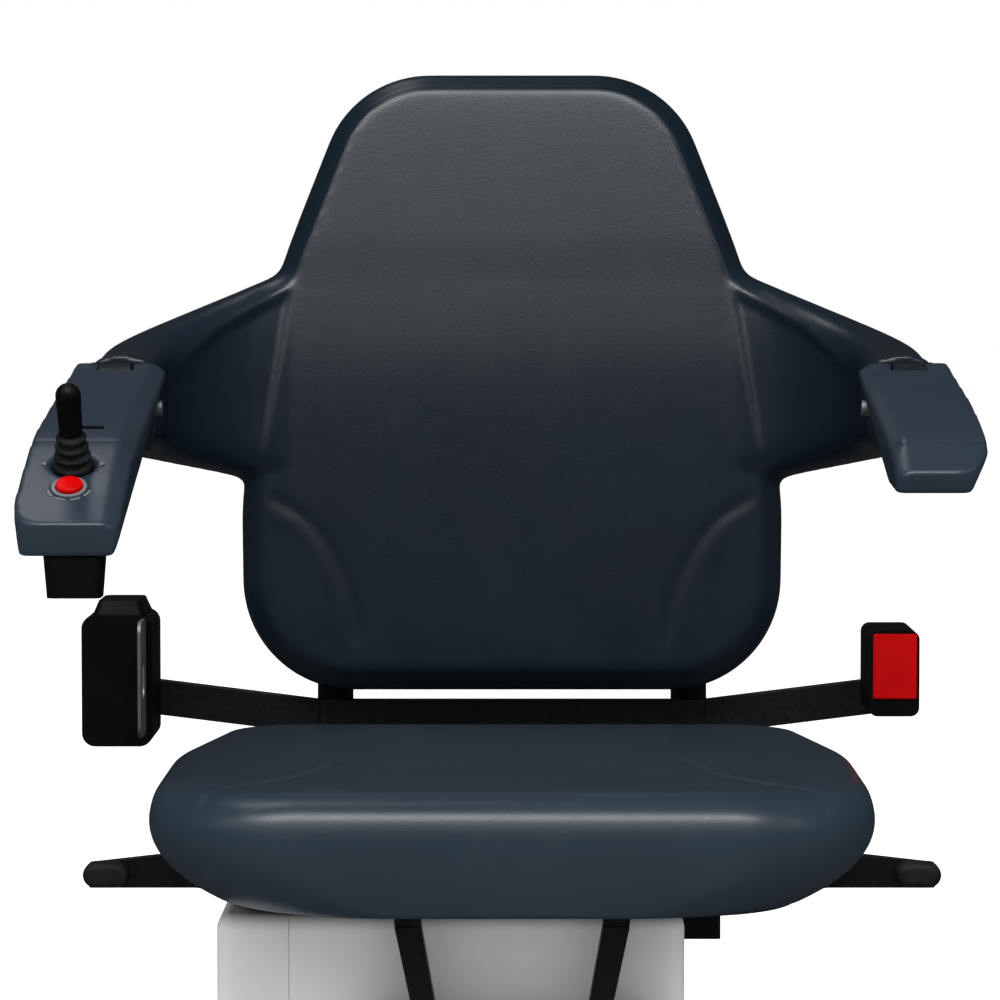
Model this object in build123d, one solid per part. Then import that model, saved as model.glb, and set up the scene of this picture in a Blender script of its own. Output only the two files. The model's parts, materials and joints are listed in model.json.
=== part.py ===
from build123d import *
import os
from math import cos, radians, sin

# Stairlift chair: fold-up seat and arms on a swivelling frame.
# Millimetres.  Origin at the centre of the mounting face, +Z up, the sitter faces -Y.
# The right-hand piece of each pair (+X) is modelled and the left-hand one mirrored.

# ---- fits
CLEAR = 0.3           # between faces that move past each other or rest on each other
RUN = 0.08            # radial clearance of a pin in its bore
CREASE_R = 4          # of the moulded creases in the backrest and the cushion
SHAVE = 600           # side of the block that takes off what lies beyond a plane

# ---- base
BASE_X, BASE_Y, BASE_T = 220, 190, 10
BOLT_PITCH_X, BOLT_PITCH_Y, BOLT_HOLE = 180, 150, 11
TUBE_D, TUBE_WALL, TUBE_H = 90, 5, 48
GUSSET_T, GUSSET_REACH, GUSSET_H = 8, 40, 36
INDEX_D, INDEX_T = 176, 10
AXLE_D, AXLE_FLANGE_D, AXLE_FLANGE_T = 30, 64, 6
RING_OUTER, RING_INNER, RING_T = 104, 40, 4
WASHER_D, WASHER_T = 56, 4
NUT_AF, NUT_T = 46, 12

# ---- index latch
PIN_D, PIN_RADIUS, PIN_DIP = 10, 62, 2      # the pin circle and how far the tip dips in the arc
ARC_W, ARC_DEPTH, SWIVEL = 11.5, 4, 90
GUIDE_W, GUIDE_H = 24, 40
COLLAR_D, COLLAR_T = 22, 4

# ---- turntable frame
PLATE_X, PLATE_Y, PLATE_T, PLATE_SHIFT = 180, 180, 8, -10
RAIL_X, RAIL_W, RAIL_H, RAIL_WALL = 72, 25, 20, 2.5
RAIL_FRONT = -160
FRONT_BAR_X, FRONT_BAR_Y = 180, 20
REAR_BAR_X, REAR_BAR_Y = 290, 30

# ---- seat
SEAT_RISE = 63        # rail top to the underside of the pan
CUSHION_T = 71
CUSHION_FRONT, CUSHION_REAR = -235, 160
CUSHION_HALF, CUSHION_ROUND = 216, 82
CUSHION_HALF_REAR, CUSHION_WAIST_Y = CUSHION_HALF - 34, -15
PAN_T, PAN_HALF, PAN_FRONT, PAN_REAR = 6, CUSHION_HALF - 44, CUSHION_FRONT + 50, CUSHION_REAR - 12
HINGE_Y, HINGE_DROP, HINGE_NOSE = 112, 12, 8
HINGE_PIN_D, HINGE_LEAF_T, HINGE_CHEEK_T, HINGE_FLANGE_T = 8, 6, 7, 3
REST_X, REST_T, REST_PAD_T = 61, 14, 6

# ---- backrest
BACK_Y, BACK_RISE, BACK_LEAN = 195, 22, 9.5
BACK_T, BACK_TOP, BACK_HALF = 48, 425, 183
POST_X, POST_D, POST_TOP = BACK_HALF - 60, 25, 270
BACK_PLATE_X, BACK_PLATE_Y, BACK_PLATE_T, BACK_PLATE_UP = 2 * POST_X + 28, 210, 3, 155
SOCKET_WALL, SOCKET_H = 5, 40
COVER_DEPTH, COVER_WALL = 40, 3

# ---- wings: plan curve of the inner face, then straight to the arm hinge
WING_R, WING_CX, WING_CY = 100, BACK_HALF - 54, 128
WING_T, WING_END_Y = 46, 55
WING_TOP, WING_TOP_RISE, WING_SWEEP = 250, 70, 2.2
WING_FOOT, WING_FOOT_DROP = 187, 42

# ---- armrests: the pin, the break where the nose starts, the inner edge and the tips
ARM_PIN_Z, ARM_NOSE, ARM_PIN_D = 217, 29, 10
ARM_BREAK_Y, ARM_BREAK_Z = -140, 206
ARM_IN_REAR, ARM_IN_FRONT = BACK_HALF + 38, BACK_HALF + 45
ARM_OUT_REAR, ARM_OUT_MID, ARM_MID_Y = BACK_HALF + 93, BACK_HALF + 101, -70
ARM_EDGE, ARM_WAIST, ARM_TAPER = 8, 10.5, 17
KNUCKLE_W, KNUCKLE_PLATE_T = 20, 3
LEFT_TIP = {"out": BACK_HALF + 110, "y": -220, "z": 158, "high": 20, "round": 18, "drawn": 6}
RIGHT_TIP = {"out": BACK_HALF + 102, "y": -165, "z": 185, "high": 13, "round": 24, "drawn": 12}

# ---- controls on the left arm
STICK_X, STICK_Y = BACK_HALF + 77, -166
BOOT_R, BOOT_H, STEM_R, KNOB_R, STICK_H, PIN_OUT = 12.5, 22, 6, 7.5, 60, 20
STOP_Y, STOP_R, STOP_PROUD, STOP_BODY, STOP_TRAVEL = -188, 8, 4, 7, 3
STOP_BEZEL_R, STOP_BEZEL_T = 10.5, 1.2
BOX_X, BOX_Y = STICK_X - 4.5, -200
BOX_TOP, BOX_FOOT, BOX_DROP = (36.5, 30), (31.5, 25), 24

# ---- lap belt
BAR_H, BAR_T, BAR_Z = 24.5, 8, -4
BAR_HALF, BAR_END, BAR_LIFT, SADDLE_W = POST_X + 10, 274, 17.5, 36
REEL_X, REEL_FRONT, REEL_Z = (243, 291), 170, (-17, 72)
REEL_CAP_X, REEL_CAP_H = (248, 284), 9.5
STRAP_W, STRAP_T, STRAP_X = 46, 1.6, 248.5
TONGUE_T, TONGUE_L, TONGUE_H, WINDOW_H, WINDOW_L = 2.5, 38, 78, 27, 15
BUCKLE_X, BUCKLE_FRONT, BUCKLE_Z = (241, 275), 165, (4, 62)
BUTTON_X, BUTTON_Z = (243.5, 273), (16, 60)
BUTTON_PROUD, BUTTON_DEEP, BUTTON_TRAVEL = 2, 10, 4.5
MOUTH_W, MOUTH_H, MOUTH_DEEP, MOUTH_Y = 4.8, 44, 26, 184.5

# ---- swivel levers
SHAFT_D, SHAFT_Y, SHAFT_RISE, SHAFT_END = 12, 37, 40, PAN_HALF - 14
LEVER_ROOT, LEVER_TIP, LEVER_Y, LEVER_T = PAN_HALF - 24, CUSHION_HALF + 52, -4, 7
GRIP_W, GRIP_H, GRIP_DEEP = 29, 16, 14
FORK_T, FORK_REACH = 3.8, 26

# ---- pale mechanism cover under the seat
SHROUD_LEFT, SHROUD_SEAM, SHROUD_RIGHT = -178, -134, 104
SHROUD_FRONT, SHROUD_REAR, SHROUD_WALL = -148, LEVER_Y - LEVER_T - 6, 3
SHROUD_GAP, SHROUD_R, SHROUD_RIM = 5, 12, 9

# ---- levels and places that follow from the sizes above
TUBE_TOP = BASE_T + TUBE_H
INDEX_TOP = TUBE_TOP + INDEX_T
PLATE_FOOT = INDEX_TOP + RING_T
PLATE_TOP = PLATE_FOOT + PLATE_T
RAIL_TOP = PLATE_TOP + RAIL_H
PAN_FOOT = RAIL_TOP + SEAT_RISE
CUSHION_FOOT = PAN_FOOT + PAN_T
SEAT_TOP = CUSHION_FOOT + CUSHION_T
HINGE_Z = PAN_FOOT - HINGE_DROP
SHAFT_Z = RAIL_TOP + SHAFT_RISE
BACK = Plane(
    origin=(0, BACK_Y, SEAT_TOP + BACK_RISE),
    x_dir=(1, 0, 0),
    z_dir=(0, -cos(radians(BACK_LEAN)), sin(radians(BACK_LEAN))),
)
POST_DEPTH = BACK_T + BACK_PLATE_T + POST_D / 2
KNEE = BACK.from_local_coords(Vector(POST_X, -12, -POST_DEPTH))
REAR_BAR_FRONT = KNEE.Y - REAR_BAR_Y / 2
BAR_BACK = KNEE.Y - POST_D / 2
BAR_FRONT = BAR_BACK - BAR_T
ARM_PIN_X = WING_CX + WING_R + WING_T / 2
ARM_PIN_Y = WING_END_Y - KNUCKLE_PLATE_T - 1 - ARM_NOSE


def block(x, y, z):
    """Box between three (low, high) pairs."""
    size = [high - low for low, high in (x, y, z)]
    return Pos(*[(low + high) / 2 for low, high in (x, y, z)]) * Box(*size)


def rod_x(radius, x, y, z):
    """Round bar along X between the pair x."""
    return Pos((x[0] + x[1]) / 2, y, z) * Rot(0, 90, 0) * Cylinder(radius, x[1] - x[0])


def rod_z(radius, z, x=0, y=0):
    """Round bar along Z between the pair z."""
    return Pos(x, y, (z[0] + z[1]) / 2) * Cylinder(radius, z[1] - z[0])


def prism_x(points, x):
    """Side view outline of (y, z) points, drawn out along X between the pair x."""
    line = Polyline(*[(x[0], y, z) for y, z in points], close=True)
    return extrude(make_face(line), amount=x[1] - x[0], dir=(1, 0, 0))


def left(part):
    """Mirror image on the -X side."""
    return mirror(part, about=Plane.YZ)


def inset_corners(corners, inset):
    """Corners of a closed anticlockwise outline with every side moved in by the inset."""
    moved = []
    for i, here in enumerate(corners):
        into = (Vector(*here) - Vector(*corners[i - 1])).normalized()
        out = (Vector(*corners[(i + 1) % len(corners)]) - Vector(*here)).normalized()
        normals = Vector(-into.Y - out.Y, into.X + out.X)
        share = inset / (1 + into.X * out.X + into.Y * out.Y)
        moved.append(Vector(*here) + normals * share)
    return moved


def ring_face(corners, radii, inset, plane):
    """Outline with rounded corners, moved in by the inset, on the given plane."""
    rounds = [max(radius - inset, 4) for radius in radii]
    line = FilletPolyline(*inset_corners(corners, inset), radius=rounds, close=True)
    return plane * make_face(line)


def channel(start, middle, end, radius, plane):
    """Round-bottomed groove along an arc through three points of the plane."""
    path = plane * ThreePointArc(start, middle, end)
    tube = sweep(Plane(origin=path @ 0, z_dir=path % 0) * Circle(radius), path=path)
    return tube + Pos(*(path @ 0)) * Sphere(radius) + Pos(*(path @ 1)) * Sphere(radius)


# ---------------------------------------------------------------- base
def base_plate():
    plate = extrude(RectangleRounded(BASE_X, BASE_Y, 14), BASE_T)
    for x in (-BOLT_PITCH_X / 2, BOLT_PITCH_X / 2):
        for y in (-BOLT_PITCH_Y / 2, BOLT_PITCH_Y / 2):
            plate -= rod_z(BOLT_HOLE / 2, (-1, BASE_T + 1), x, y)
    return plate


def pedestal_tube():
    span = (BASE_T, TUBE_TOP)
    return rod_z(TUBE_D / 2, span) - rod_z(TUBE_D / 2 - TUBE_WALL, (BASE_T - 1, TUBE_TOP + 1))


def pedestal_gussets():
    """Four triangular ribs round the tube, clear of the bolt heads."""
    root, tip = TUBE_D / 2 - 1, TUBE_D / 2 + GUSSET_REACH
    side = Polyline(
        (root, 0, BASE_T), (tip, 0, BASE_T), (tip, 0, BASE_T + 6),
        (TUBE_D / 2 + 6, 0, BASE_T + GUSSET_H), (root, 0, BASE_T + GUSSET_H), close=True,
    )
    rib = extrude(make_face(side), amount=GUSSET_T / 2, both=True) - rod_z(TUBE_D / 2, (0, TUBE_TOP))
    return Compound(children=[Rot(0, 0, turn) * rib for turn in (0, 90, 180, 270)])


def index_plate():
    """Fixed disc with the arc the latch pin runs in and a pocket at each stop."""
    disc = rod_z(INDEX_D / 2, (TUBE_TOP, INDEX_TOP)) - rod_z(AXLE_D / 2, (TUBE_TOP - 1, INDEX_TOP + 1))
    track = SlotArc(CenterArc((0, 0), PIN_RADIUS, 90 - SWIVEL, 2 * SWIVEL), height=ARC_W)
    disc -= Pos(0, 0, INDEX_TOP - ARC_DEPTH) * extrude(track, ARC_DEPTH + 1)
    for turn in (90 - SWIVEL, 90, 90 + SWIVEL):
        pocket = rod_z(PIN_D / 2 + CLEAR, (TUBE_TOP - 1, INDEX_TOP), PIN_RADIUS, 0)
        disc -= Rot(0, 0, turn) * pocket
    return disc


def swivel_axle():
    flange = rod_z(AXLE_FLANGE_D / 2, (TUBE_TOP - AXLE_FLANGE_T, TUBE_TOP))
    return flange + rod_z(AXLE_D / 2, (TUBE_TOP, PLATE_TOP + WASHER_T + NUT_T + 3))


def thrust_ring():
    span = (INDEX_TOP, PLATE_FOOT)
    return rod_z(RING_OUTER / 2, span) - rod_z(RING_INNER / 2, (INDEX_TOP - 1, PLATE_FOOT + 1))


def axle_washer():
    span = (PLATE_TOP, PLATE_TOP + WASHER_T)
    return rod_z(WASHER_D / 2, span) - rod_z(AXLE_D / 2, (PLATE_TOP - 1, PLATE_TOP + WASHER_T + 1))


def axle_nut():
    foot = PLATE_TOP + WASHER_T
    nut = Pos(0, 0, foot) * extrude(RegularPolygon(NUT_AF / 2, 6, major_radius=False), NUT_T)
    return nut - rod_z(AXLE_D / 2, (foot - 1, foot + NUT_T + 1))


# ---------------------------------------------------------------- turntable frame
def turntable_plate():
    plate = Pos(0, PLATE_SHIFT, PLATE_FOOT) * extrude(RectangleRounded(PLATE_X, PLATE_Y, 20), PLATE_T)
    plate -= rod_z(AXLE_D / 2 + RUN, (PLATE_FOOT - 1, PLATE_TOP + 1))
    return plate - rod_z(PIN_D / 2 + CLEAR, (PLATE_FOOT - 1, PLATE_TOP + 1), 0, PIN_RADIUS)


def box_tube(x, y, z, wall, along):
    """Rectangular tube between three (low, high) pairs, open along one axis (0, 1 or 2)."""
    inner = [(low + wall, high - wall) for low, high in (x, y, z)]
    inner[along] = ((x, y, z)[along][0] - 1, (x, y, z)[along][1] + 1)
    return block(x, y, z) - block(*inner)


def side_rail():
    x = (RAIL_X - RAIL_W / 2, RAIL_X + RAIL_W / 2)
    return box_tube(x, (RAIL_FRONT, REAR_BAR_FRONT), (PLATE_TOP, RAIL_TOP), RAIL_WALL, 1)


def front_crossmember():
    x = (-FRONT_BAR_X / 2, FRONT_BAR_X / 2)
    return box_tube(x, (RAIL_FRONT - FRONT_BAR_Y, RAIL_FRONT), (PLATE_TOP, RAIL_TOP), RAIL_WALL, 0)


def rear_crossmember():
    x = (-REAR_BAR_X / 2, REAR_BAR_X / 2)
    return box_tube(x, (REAR_BAR_FRONT, REAR_BAR_FRONT + REAR_BAR_Y), (PLATE_TOP, RAIL_TOP), RAIL_WALL, 0)


def post_socket():
    sleeve = rod_z(POST_D / 2 + SOCKET_WALL, (RAIL_TOP, RAIL_TOP + SOCKET_H), POST_X, KNEE.Y)
    sleeve -= rod_z(POST_D / 2, (RAIL_TOP - 1, RAIL_TOP + SOCKET_H + 1), POST_X, KNEE.Y)
    bolt_y = (KNEE.Y - POST_D / 2 - SOCKET_WALL - 3, KNEE.Y)
    bolt = Pos(POST_X, 0, RAIL_TOP + SOCKET_H / 2) * Rot(90, 0, 0) * Cylinder(5, bolt_y[1] - bolt_y[0])
    bolt = Pos(0, (bolt_y[0] + bolt_y[1]) / 2, 0) * bolt
    return sleeve + (bolt - rod_z(POST_D / 2, (RAIL_TOP, RAIL_TOP + SOCKET_H), POST_X, KNEE.Y))


def post_path():
    """Upright from the crossmember to the knee, then up the back of the pad at its lean."""
    top = BACK.from_local_coords(Vector(POST_X, POST_TOP, -POST_DEPTH))
    return FilletPolyline((POST_X, KNEE.Y, RAIL_TOP), KNEE, top, radius=60)


def back_post():
    path = post_path()
    return sweep(Plane(origin=path @ 0, z_dir=path % 0) * Circle(POST_D / 2), path=path)


# ---------------------------------------------------------------- backrest
# Front view of the pad, up its own slope from the lower edge.
BACK_OUTLINE = [
    (-BACK_HALF, 0), (BACK_HALF, 0), (BACK_HALF + 2, 130), (BACK_HALF - 23, 290), (BACK_HALF - 76, BACK_TOP),
    (76 - BACK_HALF, BACK_TOP), (23 - BACK_HALF, 290), (-BACK_HALF - 2, 130),
]
BACK_RADII = [76, 76, 200, 200, 75, 75, 200, 200]


def pad_form():
    """Crowned front, rolled edge and flat back, as rings from the front to the back."""
    rings = [(8, 62), (5, 34), (0, 13), (-6, 4), (-14, 0), (-26, 0), (-36, 2), (-44, 7), (-BACK_T, 16)]
    faces = [ring_face(BACK_OUTLINE, BACK_RADII, inset, BACK.offset(depth)) for depth, inset in rings]
    return loft(faces, ruled=True)


def wing_section(turn, straight, share):
    """Cross-section of the wing, at a turn of its plan curve or further along the straight."""
    top = SEAT_TOP + WING_TOP + WING_TOP_RISE * (1 - share) ** WING_SWEEP
    foot = SEAT_TOP + WING_FOOT - WING_FOOT_DROP * (1 - share) ** 2
    reach = WING_R + WING_T / 2
    out = Vector(cos(radians(turn)), sin(radians(turn)), 0)
    centre = Vector(WING_CX, WING_CY - straight, (top + foot) / 2) + out * reach
    plane = Plane(origin=centre, x_dir=out, z_dir=(out.Y, -out.X, 0))
    return plane * Rot(0, 0, -BACK_LEAN * out.Y) * RectangleRounded(WING_T, top - foot, 15)


def wing_form():
    """Wing from inside the pad's edge, round the plan curve and forward to the arm hinge."""
    straight = WING_CY - WING_END_Y
    length = radians(90) * (WING_R + WING_T / 2) + straight
    sections = []
    for turn in (90, 75, 60, 45, 30, 15, 0):
        run = radians(90 - turn) * (WING_R + WING_T / 2)
        sections.append(wing_section(turn, 0, run / length))
    sections.append(wing_section(0, straight, 1))
    return loft(sections, ruled=True)


def backrest_pad():
    wing = wing_form()
    pad = pad_form() + wing + left(wing)
    ends = (BACK_HALF - 20, 128), (BACK_HALF - 59, 96), (BACK_HALF - 78, 42)
    crease = channel(*ends, CREASE_R, BACK.offset(5))
    return pad - crease - left(crease)


def back_plate():
    plate = extrude(RectangleRounded(BACK_PLATE_X, BACK_PLATE_Y, 20), BACK_PLATE_T)
    return BACK.offset(-BACK_T - BACK_PLATE_T) * Pos(0, BACK_PLATE_UP) * plate


def cover_form(wall):
    """Outside of the back cover, or its inside once a wall's thickness is taken off all round."""
    rings = [(0, 17), (COVER_DEPTH - 12, 24), (COVER_DEPTH - 4, 32), (COVER_DEPTH, 44)]
    faces = [
        ring_face(BACK_OUTLINE, BACK_RADII, inset + wall, BACK.offset(wall - BACK_T - depth))
        for depth, inset in rings
    ]
    return loft(faces, ruled=True)


def back_cover():
    """Hollow moulded cover over the posts and the plate, notched where the posts go in."""
    cover = cover_form(0) - cover_form(COVER_WALL)
    for side in (-1, 1):
        notch = BACK.offset(-BACK_T) * Pos(side * POST_X, 20, -BACK_PLATE_T - POST_D / 2)
        cover -= notch * Box(POST_D + 4, 60, POST_D + 4)
    return cover


# ---------------------------------------------------------------- seat
def cushion_face(up, side, front):
    """Outline of the cushion at a height, drawn in at the sides and rear and, separately, at the front."""
    half, rear_half, rear = CUSHION_HALF - side, CUSHION_HALF_REAR - side, CUSHION_REAR - side / 2
    right = [(half, CUSHION_FRONT + front), (half, CUSHION_WAIST_Y), (rear_half, rear)]
    corners = right + [(-x, y) for x, y in reversed(right)]
    front_round = CUSHION_ROUND + 0.7 * side
    rounds = [front_round, 240, 34, 34, 240, front_round]
    line = FilletPolyline(*corners, radius=rounds, close=True)
    return Pos(0, 0, CUSHION_FOOT + up) * make_face(line)


def seat_cushion():
    """Soft shoulders, a rounder front, sides drawn in to the pan; a channel each side."""
    rings = [
        (0, 38, 5), (8, 26, 2), (18, 14, 0), (30, 7, 0), (44, 2, 0), (54, 0, 2), (62, 0.5, 7), (67, 2, 14),
        (70, 6, 25), (CUSHION_T, 16, 40),
    ]
    faces = [cushion_face(*ring) for ring in rings]
    ends = [(CUSHION_HALF - x, CUSHION_FRONT + y) for x, y in ((109, 218), (79, 110), (34, 71))]
    groove = channel(*ends, CREASE_R, Plane.XY.offset(SEAT_TOP - 1))
    return loft(faces, ruled=True) - groove - left(groove)


def seat_pan():
    corners = [
        (PAN_HALF, PAN_FRONT), (PAN_HALF, PAN_REAR), (-PAN_HALF, PAN_REAR), (-PAN_HALF, PAN_FRONT),
    ]
    return extrude(ring_face(corners, [70, 25, 25, 70], 0, Plane.XY.offset(PAN_FOOT)), PAN_T)


def hinge_span(inner, thick):
    """(low, high) along X of a hinge piece that starts a distance out from the rail's middle."""
    return (RAIL_X + inner, RAIL_X + inner + thick)


def seat_hinge_bracket():
    """Clevis on the rail, with a bore for the seat hinge pin."""
    gap = HINGE_LEAF_T / 2 + CLEAR
    foot = block((RAIL_X - gap - HINGE_CHEEK_T, RAIL_X + gap + HINGE_CHEEK_T),
                 (HINGE_Y - HINGE_NOSE, HINGE_Y + HINGE_NOSE), (RAIL_TOP, RAIL_TOP + 10))
    for start in (-gap - HINGE_CHEEK_T, gap):
        span = hinge_span(start, HINGE_CHEEK_T)
        foot += block(span, (HINGE_Y - HINGE_NOSE, HINGE_Y + HINGE_NOSE), (RAIL_TOP, HINGE_Z))
        foot += rod_x(HINGE_NOSE, span, HINGE_Y, HINGE_Z)
    return foot - rod_x(HINGE_PIN_D / 2, (0, 2 * RAIL_X), HINGE_Y, HINGE_Z)


def seat_hinge_leaf():
    """Lug under the pan with its flange, turning between the cheeks of the bracket."""
    span = hinge_span(-HINGE_LEAF_T / 2, HINGE_LEAF_T)
    leaf = rod_x(HINGE_NOSE, span, HINGE_Y, HINGE_Z)
    leaf += block(span, (HINGE_Y - HINGE_NOSE, HINGE_Y + HINGE_NOSE), (HINGE_Z, PAN_FOOT))
    flange = (RAIL_X - 16, RAIL_X + 16)
    leaf += block(flange, (HINGE_Y - 26, HINGE_Y + 26), (PAN_FOOT - HINGE_FLANGE_T, PAN_FOOT))
    return leaf - rod_x(HINGE_PIN_D / 2 + RUN, (0, 2 * RAIL_X), HINGE_Y, HINGE_Z)


def seat_hinge_pin():
    reach = HINGE_LEAF_T / 2 + CLEAR + HINGE_CHEEK_T
    pin = rod_x(HINGE_PIN_D / 2, (RAIL_X - reach, RAIL_X + reach), HINGE_Y, HINGE_Z)
    head = (RAIL_X + reach, RAIL_X + reach + 3)
    return pin + rod_x(HINGE_PIN_D / 2 + 2, head, HINGE_Y, HINGE_Z)


def seat_rest():
    """Splayed bracket on the front crossmember that carries the pan when the seat is down."""
    y = (RAIL_FRONT - FRONT_BAR_Y, RAIL_FRONT - 4)
    top = PAN_FOOT - CLEAR - REST_PAD_T
    side = Polyline(
        (REST_X - 10 - REST_T / 2, y[0], RAIL_TOP), (REST_X - 10 + REST_T / 2, y[0], RAIL_TOP),
        (REST_X + REST_T / 2 + 2, y[0], top), (REST_X - REST_T / 2, y[0], top), close=True,
    )
    return extrude(make_face(side), amount=y[1] - y[0], dir=(0, 1, 0))


def rest_pad():
    y = (RAIL_FRONT - FRONT_BAR_Y, RAIL_FRONT - 4)
    top = PAN_FOOT - CLEAR
    pad = block((REST_X - REST_T / 2, REST_X + REST_T / 2 + 2), y, (top - REST_PAD_T, top))
    return fillet(pad.edges().filter_by(Axis.Z), 4)


# ---------------------------------------------------------------- armrests
def arm_hinge():
    """Steel knuckle on the end of the wing, inside the clevis end of the armrest."""
    mid, z = ARM_PIN_X, SEAT_TOP + ARM_PIN_Z
    half = (WING_TOP - WING_FOOT) / 2 - 3
    plate = (WING_END_Y - KNUCKLE_PLATE_T, WING_END_Y)
    piece = block((mid - 19, mid + 19), plate, (z - half, z + half))
    span = (mid - KNUCKLE_W / 2, mid + KNUCKLE_W / 2)
    radius = ARM_NOSE - CLEAR
    piece += rod_x(radius, span, ARM_PIN_Y, z)
    piece += block(span, (ARM_PIN_Y, plate[0]), (z - radius, z))
    return piece - rod_x(ARM_PIN_D / 2, (0, 2 * mid), ARM_PIN_Y, z)


def arm_pin():
    x = (ARM_IN_REAR + 2, ARM_OUT_REAR - 1)
    return rod_x(ARM_PIN_D / 2, x, ARM_PIN_Y, SEAT_TOP + ARM_PIN_Z)


def shaved(part, a, b, c):
    """The part without what lies beyond the plane of three points, seen anticlockwise from there."""
    out = (Vector(*b) - Vector(*a)).cross(Vector(*c) - Vector(*a))
    beyond = Box(SHAVE, SHAVE, SHAVE, align=(Align.CENTER, Align.CENTER, Align.MIN))
    return part - Plane(origin=a, z_dir=out) * beyond


def arm_form(tip):
    """Armrest with a sloping nose, an inner side drawn in to its foot and a clevis on the pin."""
    pin_z = SEAT_TOP + ARM_PIN_Z
    tip_z = SEAT_TOP + tip["z"]
    width = (ARM_IN_REAR, tip["out"])
    body = prism_x([
        (ARM_PIN_Y, pin_z - ARM_NOSE), (ARM_PIN_Y + 5, pin_z), (ARM_PIN_Y, pin_z + ARM_NOSE),
        (ARM_BREAK_Y, SEAT_TOP + ARM_BREAK_Z), (tip["y"], tip_z), (tip["y"] + 4, tip_z - tip["high"]),
    ], width)
    body += rod_x(ARM_NOSE, width, ARM_PIN_Y, pin_z)
    rear = ARM_PIN_Y + ARM_NOSE
    plan = FilletPolyline(
        (ARM_IN_FRONT, tip["y"]), (tip["out"], tip["y"]), (ARM_OUT_MID, ARM_MID_Y), (ARM_OUT_REAR, rear),
        (ARM_IN_REAR, rear), radius=[9, tip["round"], 150, 0, 0], close=True,
    )
    body &= Pos(0, 0, SEAT_TOP) * extrude(make_face(plan), 2 * ARM_PIN_Z)

    edge = (ARM_IN_REAR + ARM_EDGE, ARM_PIN_Y, pin_z + ARM_NOSE)
    waist = (ARM_IN_REAR, ARM_PIN_Y, pin_z + ARM_NOSE - ARM_WAIST)
    foot = (ARM_IN_REAR + ARM_TAPER, ARM_PIN_Y, pin_z - ARM_NOSE)
    break_edge = (ARM_IN_FRONT + ARM_EDGE - 2, ARM_BREAK_Y, SEAT_TOP + ARM_BREAK_Z)
    tip_edge = (ARM_IN_FRONT + ARM_EDGE, tip["y"], tip_z)
    tip_waist = (ARM_IN_FRONT, tip["y"], tip_z - ARM_WAIST / 2)
    left_waist = (ARM_IN_FRONT, LEFT_TIP["y"], SEAT_TOP + LEFT_TIP["z"] - ARM_WAIST)
    body = shaved(body, edge, waist, break_edge)
    body = shaved(body, break_edge, tip_waist, tip_edge)
    body = shaved(body, waist, foot, left_waist)
    shoulder = (tip["out"] - 2, ARM_BREAK_Y, tip_z + ARM_EDGE)
    outer_foot = (tip["out"] - tip["drawn"], ARM_BREAK_Y, tip_z - tip["high"])
    body = shaved(body, shoulder, (shoulder[0], tip["y"], shoulder[2]), outer_foot)

    slot = (ARM_PIN_X - KNUCKLE_W / 2 - CLEAR, ARM_PIN_X + KNUCKLE_W / 2 + CLEAR)
    body -= rod_x(ARM_NOSE + CLEAR, slot, ARM_PIN_Y, pin_z)
    return body - rod_x(ARM_PIN_D / 2 + RUN, (ARM_IN_REAR - 1, tip["out"] + 1), ARM_PIN_Y, pin_z)


def nose_plane(y):
    """Plane on the sloping nose of the left arm, X outwards and Z off the surface."""
    run, fall = LEFT_TIP["y"] - ARM_BREAK_Y, LEFT_TIP["z"] - ARM_BREAK_Z
    slope = Vector(0, run, fall).normalized()
    z = SEAT_TOP + ARM_BREAK_Z + (y - ARM_BREAK_Y) / run * fall
    return Plane(origin=(STICK_X, y, z), x_dir=(1, 0, 0), z_dir=(0, slope.Z, -slope.Y))


def armrest_right():
    return arm_form(RIGHT_TIP)


def armrest_left():
    arm = arm_form(LEFT_TIP)
    arm -= nose_plane(STICK_Y) * Sphere(BOOT_R + CLEAR)
    deep = STOP_BODY + STOP_TRAVEL
    return arm - nose_plane(STOP_Y) * Pos(0, 0, 1 - deep / 2) * Cylinder(STOP_R + RUN, deep + 2)


def joystick_boot():
    """Rubber gaiter with three folds over a round seat, bored for the stem."""
    fold = BOOT_H / 6
    rim = BOOT_R - 0.6
    profile = [(STEM_R, 0), (rim, 0)]
    for i in range(3):
        radius = rim - 1.2 * i
        profile += [(radius, fold * (2 * i + 1)), (radius - 2.2, fold * (2 * i + 2))]
    profile += [(STEM_R, BOOT_H)]
    bellows = revolve(make_face(Polyline(*[(r, 0, z) for r, z in profile], close=True)), Axis.Z)
    ball = Sphere(BOOT_R) & Pos(0, 0, -BOOT_R) * Box(4 * BOOT_R, 4 * BOOT_R, 2 * BOOT_R)
    return nose_plane(STICK_Y) * (bellows + ball)


def joystick_stem():
    """Stem with a thin finger pin above the gaiter, towards the sitter."""
    stem = Pos(0, 0, (STICK_H - 12) / 2) * Cylinder(STEM_R, STICK_H - 12)
    pin = Rot(0, -90, 0) * Cylinder(1.2, PIN_OUT, align=(Align.CENTER, Align.CENTER, Align.MIN))
    return nose_plane(STICK_Y) * (stem + Pos(0, 0, BOOT_H + 7) * pin)


def joystick_knob():
    """Round-topped knob on the end of the stem."""
    foot = STICK_H - 18
    body = Pos(0, 0, foot) * Cylinder(KNOB_R, 13, align=(Align.CENTER, Align.CENTER, Align.MIN))
    body = fillet(body.edges(), 2.5) + Pos(0, 0, STICK_H - KNOB_R) * Sphere(KNOB_R)
    return nose_plane(STICK_Y) * (body - Cylinder(STEM_R, 2 * (STICK_H - 12)))


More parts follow.
